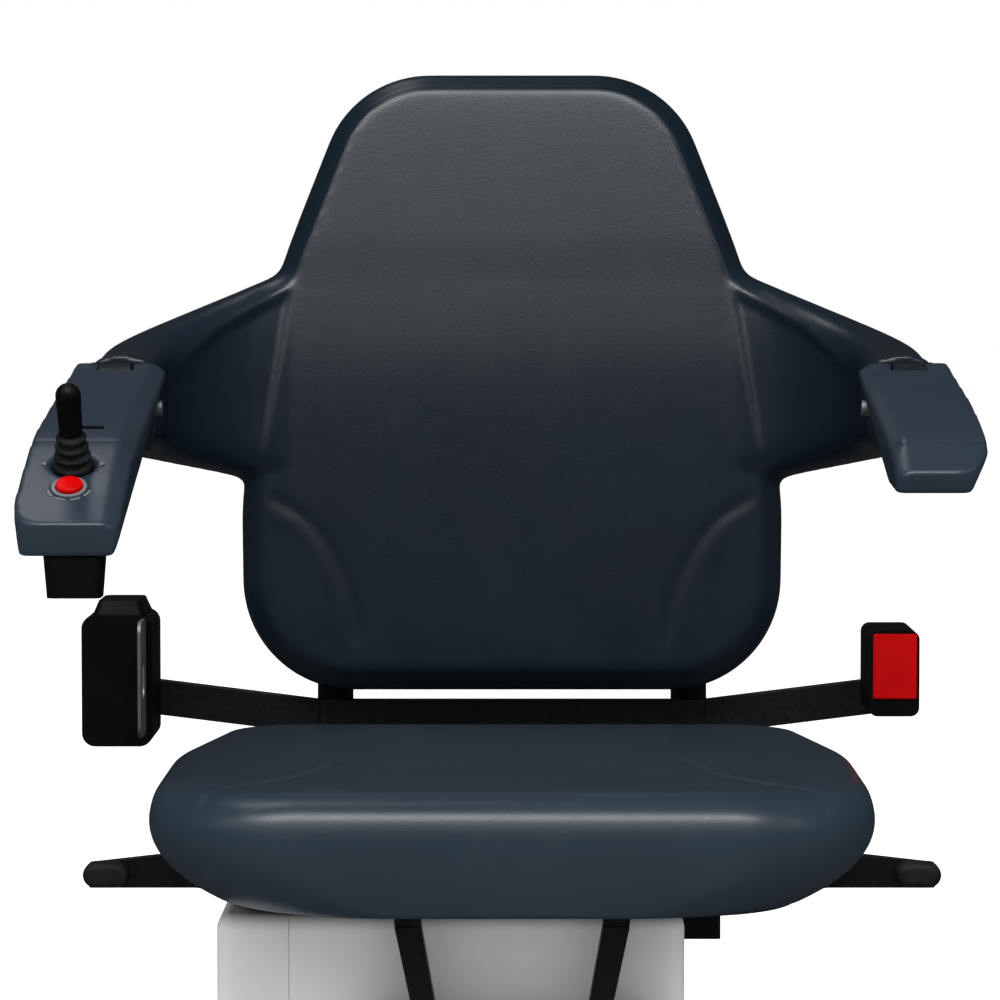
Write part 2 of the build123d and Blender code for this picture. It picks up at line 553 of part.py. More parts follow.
def stop_button():
    cap = Cylinder(STOP_R, STOP_BODY + STOP_PROUD, align=(Align.CENTER, Align.CENTER, Align.MAX))
    cap = fillet(cap.edges().sort_by(Axis.Z)[-1], 1.6)
    return nose_plane(STOP_Y) * Pos(0, 0, STOP_PROUD) * cap


def stop_button_bezel():
    ring = Cylinder(STOP_BEZEL_R, STOP_BEZEL_T, align=(Align.CENTER, Align.CENTER, Align.MIN))
    return nose_plane(STOP_Y) * (ring - Cylinder(STOP_R + 0.4, 10))


def control_box():
    """Tapered box under the nose of the left arm, its top cut to the arm's underside."""
    foot = SEAT_TOP + LEFT_TIP["z"] - LEFT_TIP["high"] - BOX_DROP
    low = Pos(BOX_X, BOX_Y, foot) * RectangleRounded(*BOX_FOOT, 5)
    high = Pos(BOX_X, BOX_Y, foot + BOX_DROP + 10) * RectangleRounded(*BOX_TOP, 5)
    return loft([low, high], ruled=True) - arm_form(LEFT_TIP)


# ---------------------------------------------------------------- lap belt
def belt_crossbar():
    z = SEAT_TOP + BAR_Z
    return block((-BAR_HALF, BAR_HALF), (BAR_FRONT, BAR_BACK), (z - BAR_H / 2, z + BAR_H / 2))


def belt_arm():
    """Flat bar that rises outwards from the crossbar to the belt fittings."""
    z = SEAT_TOP + BAR_Z
    outline = Polyline(
        (BAR_HALF, BAR_FRONT, z - BAR_H / 2), (BAR_END, BAR_FRONT, z + BAR_LIFT - BAR_H / 2),
        (BAR_END, BAR_FRONT, z + BAR_LIFT + BAR_H / 2), (BAR_HALF, BAR_FRONT, z + BAR_H / 2), close=True,
    )
    return extrude(make_face(outline), amount=BAR_T, dir=(0, 1, 0))


def post_saddle():
    """Half-round saddle that clamps the crossbar to the post."""
    z = SEAT_TOP + BAR_Z - 6
    saddle = block((POST_X - SADDLE_W / 2, POST_X + SADDLE_W / 2), (BAR_BACK, KNEE.Y), (z - 6, z + 6))
    return saddle - back_post()


def reel_housing():
    """Belt retractor body with the slot that the strap runs out of."""
    body = block(REEL_X, (REEL_FRONT, BAR_FRONT), [SEAT_TOP + z for z in REEL_Z])
    body = fillet(body.edges().filter_by(Axis.Y), 9)
    return body - strap_space(CLEAR, BAR_FRONT - 5)


def strap_space(gap, rear):
    """The strap's own space, widened by a gap, from the tongue back to the given Y."""
    z = SEAT_TOP + sum(REEL_Z) / 2 + 4
    half = STRAP_W / 2 + gap
    thick = STRAP_T / 2 + gap
    return block((STRAP_X - thick, STRAP_X + thick), (REEL_FRONT - 1, rear), (z - half, z + half))


def reel_cap():
    z = SEAT_TOP + REEL_Z[1]
    low = Pos(sum(REEL_CAP_X) / 2, (REEL_FRONT + BAR_FRONT) / 2, z)
    size = (REEL_CAP_X[1] - REEL_CAP_X[0], BAR_FRONT - REEL_FRONT - 6)
    return loft([low * RectangleRounded(*size, 6),
                 low * Pos(0, 0, REEL_CAP_H) * RectangleRounded(size[0] - 8, size[1] - 8, 5)], ruled=True)


def belt_strap():
    return strap_space(0, BAR_FRONT - 6)


def belt_tongue():
    """Steel tongue with its oval window, on the end of the strap."""
    z = SEAT_TOP + sum(REEL_Z) / 2 + 4
    rear = REEL_FRONT - 1
    plate = block((STRAP_X - TONGUE_T / 2, STRAP_X + TONGUE_T / 2), (rear - TONGUE_L, rear),
                  (z - TONGUE_H / 2, z + TONGUE_H / 2))
    plate = fillet(plate.edges().filter_by(Axis.X), 8)
    window = Plane(origin=(STRAP_X, rear - TONGUE_L / 2, z), x_dir=(0, 0, 1), z_dir=(1, 0, 0))
    return plate - extrude(window * SlotOverall(WINDOW_H, WINDOW_L), amount=TONGUE_T, both=True)


def buckle_housing():
    """Buckle body with the tongue's mouth in its inner side and the well of the release button."""
    body = block(BUCKLE_X, (BUCKLE_FRONT, BAR_FRONT), [SEAT_TOP + z for z in BUCKLE_Z])
    body = fillet(body.edges().filter_by(Axis.Y), 6)
    mid = SEAT_TOP + sum(BUCKLE_Z) / 2
    body -= block((BUCKLE_X[0] - 1, BUCKLE_X[0] + MOUTH_DEEP), (MOUTH_Y - MOUTH_W / 2, MOUTH_Y + MOUTH_W / 2),
                  (mid - MOUTH_H / 2, mid + MOUTH_H / 2))
    x = (BUTTON_X[0] - RUN, BUTTON_X[1] + RUN)
    z = (SEAT_TOP + BUTTON_Z[0] - RUN, SEAT_TOP + BUTTON_Z[1] + RUN)
    return body - block(x, (BUCKLE_FRONT - 1, BUCKLE_FRONT + BUTTON_DEEP + BUTTON_TRAVEL), z)


def buckle_button():
    y = (BUCKLE_FRONT - BUTTON_PROUD, BUCKLE_FRONT + BUTTON_DEEP - 0.5)
    button = block(BUTTON_X, y, [SEAT_TOP + z for z in BUTTON_Z])
    return fillet(button.faces().sort_by(Axis.Y)[0].edges(), 1.5)


# ---------------------------------------------------------------- swivel levers and latch
def lever_shaft():
    return rod_x(SHAFT_D / 2, (-SHAFT_END, SHAFT_END), SHAFT_Y, SHAFT_Z)


def lever_bearing():
    block_y = (SHAFT_Y - 13, SHAFT_Y + 13)
    x = (RAIL_X - RAIL_W / 2, RAIL_X + RAIL_W / 2)
    bearing = block(x, block_y, (RAIL_TOP, SHAFT_Z)) + rod_x(13, x, SHAFT_Y, SHAFT_Z)
    return bearing - rod_x(SHAFT_D / 2 + RUN, (0, 2 * RAIL_X), SHAFT_Y, SHAFT_Z)


def lever_arm():
    """Crank from the shaft's end, and a flat blade that runs out past the side of the cushion."""
    hub = (LEVER_ROOT, SHAFT_END)
    front = LEVER_Y - LEVER_T
    crank = rod_x(SHAFT_D / 2 + 3, hub, SHAFT_Y, SHAFT_Z)
    crank += prism_x([
        (SHAFT_Y, SHAFT_Z - 8), (SHAFT_Y, SHAFT_Z + 8), (front, SHAFT_Z + 18), (front, SHAFT_Z + 5),
    ], hub)
    outline = [
        (LEVER_ROOT, 5), (CUSHION_HALF - 16, 14), (LEVER_TIP, 14), (LEVER_TIP, 30), (CUSHION_HALF + 8, 35),
        (CUSHION_HALF - 20, 32), (PAN_HALF + 4, 20), (LEVER_ROOT, 18),
    ]
    blade = Polyline(*[(x, LEVER_Y, SHAFT_Z + up) for x, up in outline], close=True)
    crank += extrude(make_face(blade), amount=LEVER_T, dir=(0, -1, 0))
    return crank - rod_x(SHAFT_D / 2, (0, SHAFT_END + 1), SHAFT_Y, SHAFT_Z)


def lever_grip():
    """Oval grip on the front of the blade's tip."""
    middle = (LEVER_TIP + 3 - GRIP_W / 2, LEVER_Y - LEVER_T, SHAFT_Z + 23.5)
    face = Plane(origin=middle, x_dir=(1, 0, 0), z_dir=(0, -1, 0))
    grip = extrude(face * SlotOverall(GRIP_W, GRIP_H), amount=GRIP_DEEP)
    return fillet(grip.faces().sort_by(Axis.Y)[0].edges(), 5)


def latch_fork():
    """Hub on the shaft with two prongs behind it, under the collar of the pin."""
    half = PIN_D / 2 + 1.5 + FORK_T
    fork = rod_x(SHAFT_D / 2 + 4, (-half, half), SHAFT_Y, SHAFT_Z)
    for side in (-1, 1):
        x = sorted((side * (half - FORK_T), side * half))
        fork += block(x, (SHAFT_Y, SHAFT_Y + FORK_REACH), (SHAFT_Z - 4, SHAFT_Z + 2))
    return fork - rod_x(SHAFT_D / 2, (-half - 1, half + 1), SHAFT_Y, SHAFT_Z)


def latch_guide():
    y = (PIN_RADIUS - GUIDE_W / 2, PIN_RADIUS + GUIDE_W / 2)
    guide = block((-GUIDE_W / 2, GUIDE_W / 2), y, (PLATE_TOP, PLATE_TOP + GUIDE_H))
    return guide - rod_z(PIN_D / 2 + RUN, (PLATE_TOP - 1, PLATE_TOP + GUIDE_H + 1), 0, PIN_RADIUS)


def latch_pin():
    collar = (SHAFT_Z + 2 + CLEAR, SHAFT_Z + 2 + CLEAR + COLLAR_T)
    pin = rod_z(PIN_D / 2, (INDEX_TOP - PIN_DIP, collar[1] + 2), 0, PIN_RADIUS)
    return pin + rod_z(COLLAR_D / 2, collar, 0, PIN_RADIUS)


# ---------------------------------------------------------------- pale cover
def shroud_form(low, high, side):
    """Thin moulded cover between two X stations, open below, behind and at one side."""
    top, foot = PAN_FOOT - SHROUD_GAP, PLATE_FOOT + 2
    closed, seam = (low, high) if side < 0 else (high, low)

    def form(wall, past):
        """Its outside, or the inside that lies a wall further in and runs out of the open sides."""
        x = sorted((closed - side * wall, seam - side * past))
        body = block(x, (SHROUD_FRONT + wall, SHROUD_REAR + past), (foot - past, top - wall))
        upright = body.edges().filter_by(Axis.Z).group_by(Axis.Y)[0].sort_by(Axis.X)
        body = fillet(upright[0 if side < 0 else -1], SHROUD_R - wall)
        rim = body.faces().sort_by(Axis.Z)[-1].edges()
        rim = rim.filter_by(lambda edge: edge.center().Y < SHROUD_REAR - 1)
        rim = rim.filter_by(lambda edge: abs(edge.center().X - (seam - side * past)) > 1)
        return fillet(rim, SHROUD_RIM - wall)

    return form(0, 0) - form(SHROUD_WALL, 1)


def mechanism_cover():
    cover = shroud_form(SHROUD_SEAM, SHROUD_RIGHT, 1)
    for side in (-1, 1):
        x = (side * RAIL_X - RAIL_W / 2, side * RAIL_X + RAIL_W / 2)
        cover -= block(x, (SHROUD_FRONT - 1, SHROUD_REAR + 1), (0, RAIL_TOP))
    return cover


def cover_end_cap():
    return shroud_form(SHROUD_LEFT, SHROUD_SEAM, -1)


def pair(name, part):
    """Both hands of a piece that is modelled on the right, each by its own name."""
    return {name + "_left": left(part), name + "_right": part}


def both(part):
    """Both hands of a small piece that is modelled on the right, under one name."""
    return Compound(children=[left(part), part])


def nodes():
    """Every piece of the chair by name."""
    pieces = {
        "base_plate": base_plate(),
        "pedestal_tube": pedestal_tube(),
        "pedestal_gussets": pedestal_gussets(),
        "index_plate": index_plate(),
        "swivel_axle": swivel_axle(),
        "thrust_ring": thrust_ring(),
        "axle_washer": axle_washer(),
        "axle_nut": axle_nut(),
        "turntable_plate": turntable_plate(),
        "front_crossmember": front_crossmember(),
        "rear_crossmember": rear_crossmember(),
        "mechanism_cover": mechanism_cover(),
        "cover_end_cap": cover_end_cap(),
        "backrest_pad": backrest_pad(),
        "back_plate": back_plate(),
        "back_cover": back_cover(),
        "belt_crossbar": belt_crossbar(),
        "reel_housing": left(reel_housing()),
        "reel_cap": left(reel_cap()),
        "belt_strap": left(belt_strap()),
        "belt_tongue": left(belt_tongue()),
        "buckle_housing": buckle_housing(),
        "buckle_button": buckle_button(),
        "seat_cushion": seat_cushion(),
        "seat_pan": seat_pan(),
        "armrest_left": left(armrest_left()),
        "armrest_right": armrest_right(),
        "joystick_boot": left(joystick_boot()),
        "joystick_stem": left(joystick_stem()),
        "joystick_knob": left(joystick_knob()),
        "stop_button": left(stop_button()),
        "stop_button_bezel": left(stop_button_bezel()),
        "control_box": left(control_box()),
        "lever_shaft": lever_shaft(),
        "latch_fork": latch_fork(),
        "latch_guide": latch_guide(),
        "latch_pin": latch_pin(),
        "post_sockets": both(post_socket()),
        "post_saddles": both(post_saddle()),
        "seat_hinge_brackets": both(seat_hinge_bracket()),
        "seat_hinge_leaves": both(seat_hinge_leaf()),
        "seat_hinge_pins": both(seat_hinge_pin()),
        "rest_pads": both(rest_pad()),
        "arm_pins": both(arm_pin()),
        "lever_bearings": both(lever_bearing()),
    }
    pieces |= pair("side_rail", side_rail())
    pieces |= pair("back_post", back_post())
    pieces |= pair("seat_rest", seat_rest())
    pieces |= pair("arm_hinge", arm_hinge())
    pieces |= pair("belt_arm", belt_arm())
    pieces |= pair("lever_arm", lever_arm())
    pieces |= pair("lever_grip", lever_grip())
    return pieces


os.makedirs("parts", exist_ok=True)
for name, piece in nodes().items():
    export_step(piece, f"parts/{name}.step")
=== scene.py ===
import json
from math import cos, pi, radians, sin, tan

import bmesh
import bpy
import numpy as np
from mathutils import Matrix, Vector


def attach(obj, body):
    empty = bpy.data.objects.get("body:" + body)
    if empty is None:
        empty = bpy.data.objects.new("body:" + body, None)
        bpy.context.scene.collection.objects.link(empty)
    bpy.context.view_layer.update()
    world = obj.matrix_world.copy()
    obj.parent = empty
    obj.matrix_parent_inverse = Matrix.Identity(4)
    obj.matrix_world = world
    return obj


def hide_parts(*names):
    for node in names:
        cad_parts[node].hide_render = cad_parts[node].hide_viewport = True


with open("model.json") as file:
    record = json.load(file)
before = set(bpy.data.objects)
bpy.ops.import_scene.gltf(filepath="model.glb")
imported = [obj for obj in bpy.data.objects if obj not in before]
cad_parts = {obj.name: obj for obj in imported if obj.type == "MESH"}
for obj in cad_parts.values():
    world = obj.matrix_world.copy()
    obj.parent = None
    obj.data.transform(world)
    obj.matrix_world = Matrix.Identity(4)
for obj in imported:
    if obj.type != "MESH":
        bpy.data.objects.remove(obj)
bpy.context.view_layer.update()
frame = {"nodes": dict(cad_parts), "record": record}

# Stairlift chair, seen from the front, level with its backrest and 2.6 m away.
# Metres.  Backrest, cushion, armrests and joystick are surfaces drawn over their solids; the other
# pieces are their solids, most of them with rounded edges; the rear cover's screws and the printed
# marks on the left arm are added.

# ---- sizes that the solids share
SEAT_TOP, CUSHION_FOOT = 0.240, 0.169
CUSHION_FRONT, CUSHION_REAR = -0.235, 0.160
BACK_ORIGIN = np.array([0, 0.195, 0.262])
BACK_LEAN = radians(9.5)
BACK_UP = np.array([0, sin(BACK_LEAN), cos(BACK_LEAN)])
BACK_OUT = np.array([0, -cos(BACK_LEAN), sin(BACK_LEAN)])
WING_CX, WING_CY, WING_REACH = 0.129, 0.128, 0.123
WING_T, WING_END_Y = 0.046, 0.055
WING_TOP, WING_TOP_RISE, WING_SWEEP = 0.250, 0.070, 2.2
WING_FOOT, WING_FOOT_DROP = 0.187, 0.042
ARM_BREAK, ARM_TIP = np.array([-0.140, 0.446]), np.array([-0.220, 0.398])
STICK_X, STICK_Y, STOP_Y = -0.260, -0.166, -0.188
BOOT_R, BOOT_H, STEM_R = 0.0125, 0.022, 0.006

# ---- sizes of the drawn surfaces, a few millimetres off the solids
BACK_CORNERS = np.array([
    (-184, -1), (184, -1), (186.5, 130), (162, 290),
    (109.5, 430), (-109.5, 430), (-162, 290), (-186.5, 130),
]) / 1000
BACK_RADII = np.array([76, 76, 200, 200, 75, 75, 200, 200]) / 1000
CUSHION_HALF, CUSHION_HALF_REAR, CUSHION_WAIST_Y = 0.218, 0.190, -0.010
CUSHION_ROUND, CUSHION_ROUND_REAR, CUSHION_ROUND_WAIST = 0.084, 0.042, 0.340
CUSHION_MIDDLE, CUSHION_DISH = np.array([0, -0.035]), 0.0036
WING_ROUND, CREST_DROP, CREST_RISE, WING_HOLLOW = 0.0165, 0.0125, 0.0011, 0.0026
BEND_UP, BEND_WIDTH = 0.226, 0.034
BREAK_EASE = {"left": (0.22, 0.014), "right": (0.32, 0.010)}
STICK_H, SLEEVE_R, KNOB_R = 0.0555, 0.0069, 0.0075
PIN_OUT, PIN_R, PIN_FOOT = 0.020, 0.0011, 0.004
SCREW_R, SCREW_RISE, SOCKET_R = 0.0040, 0.0022, 0.0017
SCREW_PLACES = [(0.112, 0.30), (0.112, 0.45), (0.084, 0.60)]
INK_RISE, DASH_INNER, DASH_OUTER = 0.00025, 0.0118, 0.0132
BACK_CELL, ARM_CELL = 0.0025, 0.0014

# ---- grooves on the right: across and up the pad's face, and seen from above on the cushion
PAD_GROOVE_DEPTH, PAD_ROLL_RISE, CUSHION_GROOVE_DEPTH = 0.0008, 0.0003, 0.0011
PAD_GROOVE = np.array([(0.163, 0.128), (0.140, 0.113), (0.122, 0.088), (0.110, 0.058), (0.106, 0.030)])
CUSHION_GROOVE = np.array([
    (0.108, -0.011), (0.119, -0.070), (0.132, -0.118),
    (0.153, -0.160), (0.177, -0.190), (0.189, -0.216),
])

# ---- fine relief of the mouldings: the step along a rim, the seam beside a groove and the grain
EDGE_STEP, EDGE_HALF, LINE_RISE = 0.0122, 0.0013, 0.0006
SEAM_HALF, SEAM_RISE, NO_LINE = 0.0020, 0.00035, 0.03
GRAIN_SIZE, FINE_GRAIN_SIZE, GRAIN_RISE = 0.0016, 0.0007, 0.000044

# ---- view
EYE_DISTANCE, EYE_HEIGHT = 2.600, 0.545
EYE_DIP = 3.2
LENS = 148.1
CENTRE_SHIFT = -0.012

SLOT_OF = {node: piece.material_slots[0].material.name for node, piece in frame["nodes"].items()}


# ---------------------------------------------------------------- shaders
def colour(code):
    """Linear RGBA of an sRGB hex colour."""
    parts = np.array([int(code[i:i + 2], 16) for i in (1, 3, 5)]) / 255
    linear = np.where(parts <= 0.04045, parts / 12.92, ((parts + 0.055) / 1.055) ** 2.4)
    return (*linear.tolist(), 1)


def add(tree, kind, inputs=None, **settings):
    """Adds a shader node with its settings; each input is a value to set or a socket to link."""
    made = tree.nodes.new("ShaderNode" + kind)
    for name, value in settings.items():
        setattr(made, name, value)
    for socket, value in (inputs or {}).items():
        if isinstance(value, bpy.types.NodeSocket):
            tree.links.new(value, made.inputs[socket])
        else:
            made.inputs[socket].default_value = value
    return made


def blank(name, values):
    """New material with only its output and one Principled shader, whose plain values are set."""
    material = bpy.data.materials.new(name)
    material.use_nodes = True
    tree = material.node_tree
    tree.nodes.clear()
    shader = add(tree, "BsdfPrincipled", values)
    add(tree, "OutputMaterial", {"Surface": shader.outputs["BSDF"]})
    return material, tree, shader


def place(tree):
    """The point on the piece, in metres of its own frame."""
    return add(tree, "TexCoord").outputs["Object"]


def noise(tree, where, size, detail=2.0):
    """Cloudy value with features of a size in metres."""
    return add(tree, "TexNoise", {"Vector": where, "Scale": 1 / size, "Detail": detail}).outputs["Fac"]


def tone(tree, factor, low, high, start=0.3, end=0.7):
    """Colour that runs from low to high as the factor goes from start to end."""
    ramp = add(tree, "ValToRGB", {"Fac": factor})
    ramp.color_ramp.elements[0].position = start
    ramp.color_ramp.elements[1].position = end
    ramp.color_ramp.elements[0].color = colour(low)
    ramp.color_ramp.elements[1].color = colour(high)
    return ramp.outputs["Color"]


def blend(tree, factor, low, high):
    """Mix of two colours, each a socket or a hex code; the node's colours go in at 6 and 7 and out at 2."""
    mix = add(tree, "Mix", {0: factor}, data_type="RGBA")
    for socket, value in ((6, low), (7, high)):
        if isinstance(value, str):
            mix.inputs[socket].default_value = colour(value)
        else:
            tree.links.new(value, mix.inputs[socket])
    return mix.outputs[2]


def spread(tree, factor, low, high, start=0.0, end=1.0, **settings):
    """Value that runs from low to high as the factor goes from start to end."""
    inputs = {"Value": factor, "From Min": start, "From Max": end, "To Min": low, "To Max": high}
    return add(tree, "MapRange", inputs, **settings).outputs["Result"]


def smooth_step(tree, value, start, end):
    """0 at start and 1 at end, with no kink at either."""
    return spread(tree, value, 0.0, 1.0, start, end, interpolation_type="SMOOTHSTEP")


def maths(tree, first, second, operation="ADD"):
    """Value worked out from two others, which are added unless another operation is named."""
    return add(tree, "Math", {0: first, 1: second}, operation=operation).outputs["Value"]


def stored(tree, name):
    """Value that is stored under a name on each point of the piece."""
    return add(tree, "Attribute", attribute_name=name).outputs["Fac"]


def relief(tree, shader, height, depth, strength=1.0):
    """Bump of a depth in metres from a height of 0 to 1."""
    bump = add(tree, "Bump", {"Height": height, "Strength": strength, "Distance": depth})
    tree.links.new(bump.outputs["Normal"], shader.inputs["Normal"])


def worn_edges(tree):
    """1 along outward edges, where handling rubs the surface, and 0 elsewhere."""
    return spread(tree, add(tree, "NewGeometry").outputs["Pointiness"], 0, 1, 0.52, 0.60)


def moulded_skin(name, deep, pale, rim):
    """Integral-skin polyurethane foam, moulded in one piece with its own dense skin: soft satin with a
    fine leather grain from the mould, and smoother patches where hands rub it.  Along a stored rim
    value the colour is painted darker, a painted shade and painted dark reflection on the rolled rim.
    The face steps up by 0.6 mm along the rim, and creases carry a seam 0.35 mm high, both placed by
    a distance stored on the piece."""
    material, tree, shader = blank(name, {"IOR": 1.50, "Specular IOR Level": 0.38})
    where = place(tree)
    body = tone(tree, noise(tree, where, 0.110, 3.0), deep, pale)
    # painted shade: where a rim value is stored, the base colour turns to the darker rim colour, standing
    # in for a dark reflection on the rolled rim
    tree.links.new(blend(tree, stored(tree, "rim"), body, rim), shader.inputs["Base Color"])
    smear = noise(tree, where, 0.026, 4.0)
    tree.links.new(spread(tree, smear, 0.29, 0.38), shader.inputs["Roughness"])
    grain = add(tree, "TexVoronoi", {"Vector": where, "Scale": 1 / GRAIN_SIZE}, feature="SMOOTH_F1")
    grain = maths(tree, grain.outputs["Distance"], noise(tree, where, FINE_GRAIN_SIZE))
    step = smooth_step(tree, stored(tree, "inset"), EDGE_STEP - EDGE_HALF, EDGE_STEP + EDGE_HALF)
    step = maths(tree, step, stored(tree, "edge"), "MULTIPLY")
    seam = smooth_step(tree, maths(tree, stored(tree, "crease"), 0, "ABSOLUTE"), SEAM_HALF, 0)
    height = maths(tree, step, LINE_RISE, "MULTIPLY")
    for value, rise in ((seam, SEAM_RISE), (grain, GRAIN_RISE)):
        height = maths(tree, height, maths(tree, value, rise, "MULTIPLY"))
    relief(tree, shader, height, 1.0)
    return material


def powder_coat(name, deep, pale, bare):
    """Polyester powder coat baked on mild steel: semi-gloss black with a slight orange peel, and a thin
    lighter line where the coat draws back from outward edges."""
    material, tree, shader = blank(name, {"Specular IOR Level": 0.15})
    where = place(tree)
    body = tone(tree, noise(tree, where, 0.060, 3.0), deep, pale)
    rubbed = maths(tree, worn_edges(tree), noise(tree, where, 0.004, 3.0), "MULTIPLY")
    tree.links.new(blend(tree, rubbed, body, bare), shader.inputs["Base Color"])
    tree.links.new(spread(tree, noise(tree, where, 0.012), 0.34, 0.48), shader.inputs["Roughness"])
    relief(tree, shader, noise(tree, where, 0.0022, 1.0), 0.00025, 0.25)
    return material


def textured_plastic(name, deep, pale, rough):
    """Injection-moulded ABS with a spark-eroded finish: even, matt, with a fine sandy texture that
    rubs smoother and a little paler on the outward edges."""
    material, tree, shader = blank(name, {"Specular IOR Level": 0.15})
    where = place(tree)
    body = tone(tree, noise(tree, where, 0.045, 2.0), deep, pale)
    rubbed = maths(tree, worn_edges(tree), 0.35, "MULTIPLY")
    tree.links.new(blend(tree, rubbed, body, pale), shader.inputs["Base Color"])
    sheen = maths(tree, maths(tree, noise(tree, where, 0.018, 3.0), 0.16, "MULTIPLY"), rough - 0.08)
    tree.links.new(sheen, shader.inputs["Roughness"])
    relief(tree, shader, noise(tree, where, 0.0009, 3.0), 0.00012, 0.35)
    return material


def rubber(name):
    """Moulded nitrile rubber: dull black, with a dusty bloom in patches and a faint mottled relief."""
    material, tree, shader = blank(name, {"Specular IOR Level": 0.25})
    where = place(tree)
    cloud = noise(tree, where, 0.008, 4.0)
    tree.links.new(tone(tree, cloud, "#0f1011", "#1a1c1e", 0.35, 0.75), shader.inputs["Base Color"])
    tree.links.new(spread(tree, cloud, 0.55, 0.75), shader.inputs["Roughness"])
    relief(tree, shader, noise(tree, where, 0.0012), 0.00012, 0.4)
    return material


def red_plastic(name):
    """Injection-moulded acetal, coloured through: glossy signal red, with fine sink marks and
    slightly duller patches from handling."""
    material, tree, shader = blank(name, {"Specular IOR Level": 0.06})
    where = place(tree)
    cloud = noise(tree, where, 0.020, 3.0)
    tree.links.new(tone(tree, cloud, "#ac0204", "#ba0405"), shader.inputs["Base Color"])
    tree.links.new(spread(tree, cloud, 0.24, 0.40), shader.inputs["Roughness"])
    relief(tree, shader, noise(tree, where, 0.006), 0.00010, 0.2)
    return material


def bright_steel(name, deep, pale, along):
    """Zinc-plated steel over a drawn finish: dull, with fine lines along one direction and a faint stain
    of handling."""
    material, tree, shader = blank(name, {"Metallic": 1.0})
    where = place(tree)
    lined = add(tree, "Mapping", {"Vector": where, "Scale": along}).outputs["Vector"]
    lines = noise(tree, lined, 0.0006, 3.0)
    stain = noise(tree, where, 0.022, 4.0)
    tree.links.new(tone(tree, stain, deep, pale), shader.inputs["Base Color"])
    tree.links.new(spread(tree, lines, 0.48, 0.64), shader.inputs["Roughness"])
    relief(tree, shader, lines, 0.00003, 0.5)
    return material


def webbing(name):
    """Woven polyester belt: ribs about 8 mm apart, crossed by a finer warp about 5 mm apart."""
    material, tree, shader = blank(name, {"Specular IOR Level": 0.25, "Sheen Weight": 0.2})
    where = place(tree)
    ribs = add(tree, "TexWave", {"Vector": where, "Scale": 38.0, "Distortion": 0.3},
               bands_direction="X").outputs["Fac"]
    warp = add(tree, "TexWave", {"Vector": where, "Scale": 62.0, "Distortion": 0.4},
               bands_direction="Z").outputs["Fac"]
    weave = maths(tree, ribs, warp, "MULTIPLY")
    tree.links.new(tone(tree, weave, "#0b0c0e", "#23262a", 0.1, 0.9), shader.inputs["Base Color"])
    tree.links.new(spread(tree, weave, 0.80, 0.62), shader.inputs["Roughness"])
    relief(tree, shader, weave, 0.00030, 0.6)
    return material


def stained_board(name):
    """Birch plywood under the cushion, stained nearly black: long grain with thin darker lines."""
    material, tree, shader = blank(name, {"Specular IOR Level": 0.3})
    where = place(tree)
    long = add(tree, "Mapping", {"Vector": where, "Scale": (1.0, 0.06, 1.0)}).outputs["Vector"]
    grain = noise(tree, long, 0.003, 5.0)
    tree.links.new(tone(tree, grain, "#0d0b09", "#1d1712", 0.35, 0.65), shader.inputs["Base Color"])
    tree.links.new(spread(tree, grain, 0.5, 0.7), shader.inputs["Roughness"])
    relief(tree, shader, grain, 0.0001, 0.4)
    return material


# ---------------------------------------------------------------- surfaces
def unit(vectors):
    """Each vector divided by its own length."""
    return vectors / np.linalg.norm(vectors, axis=-1, keepdims=True)


def ease(values, start, end):
    """0 before start, 1 after end, and 3s^2 - 2s^3 of the share s between them."""
    share = np.clip((values - start) / (end - start), 0, 1)
    return share * share * (3 - 2 * share)


def hump(values, middle, width):
    """exp(-(v - middle)^2 / width^2)."""
    return np.exp(-((values - middle) / width) ** 2)


def corner_sides(corners):
    """Directions from each corner to the one before and the one after, and half the angle between."""
    back = unit(np.roll(corners, 1, -2) - corners)
    ahead = unit(np.roll(corners, -1, -2) - corners)
    return back, ahead, np.arccos(np.sum(back * ahead, -1, keepdims=True)) / 2


def drawn_in(corners, inset):
    """Corners moved up their bisectors until each side lies an inset further in."""
    back, ahead, half = corner_sides(corners)
    return corners + unit(back + ahead) * inset / np.sin(half)


def rounded_outline(corners, radii, turn_steps, run_steps):
    """Closed line round rounded corners, for one row of corners or a stack of them.

    With h half the angle between a corner's sides, its arc of radius r starts r / tan h along each
    side and turns about the point r / sin h up the bisector: a point at share s of the arc is that
    centre plus (sin((1-s)f) u + sin(sf) v) / sin f, where u and v are the radii at its two ends and
    f = pi - 2h is the angle between them.  Straight runs join one arc to the next."""
    back, ahead, half = corner_sides(corners)
    radii = radii[..., None]
    centre = corners + unit(back + ahead) * radii / np.sin(half)
    first = corners + back * radii / np.tan(half) - centre
    last = corners + ahead * radii / np.tan(half) - centre
    turn = pi - 2 * half[..., None]
    share = np.linspace(0, 1, turn_steps)[:, None]
    arc = np.sin((1 - share) * turn) * first[..., None, :] + np.sin(share * turn) * last[..., None, :]
    arc = centre[..., None, :] + arc / np.sin(turn)
    share = np.linspace(0, 1, run_steps + 2)[1:-1, None]
    start, end = arc[..., -1:, :], np.roll(arc, -1, -3)[..., :1, :]
    run = start + (end - start) * share
    line = np.concatenate([arc, run], -2)
    return line.reshape(*line.shape[:-3], -1, 2)


def smooth_run(knots, count):
    """Points on the cubic spline through the knots whose slope at a knot is half the step between its
    neighbours."""
    padded = np.concatenate([2 * knots[:1] - knots[1:2], knots, 2 * knots[-1:] - knots[-2:-1]])
    at = np.linspace(0, len(knots) - 1, count)
    i = np.minimum(at.astype(int), len(knots) - 2)
    s = (at - i)[:, None]
    a, b, c, d = (padded[i + k] for k in range(4))
    return b + s * ((c - a) + s * ((2 * a - 5 * b + 4 * c - d) + s * (3 * (b - c) + d - a))) / 2


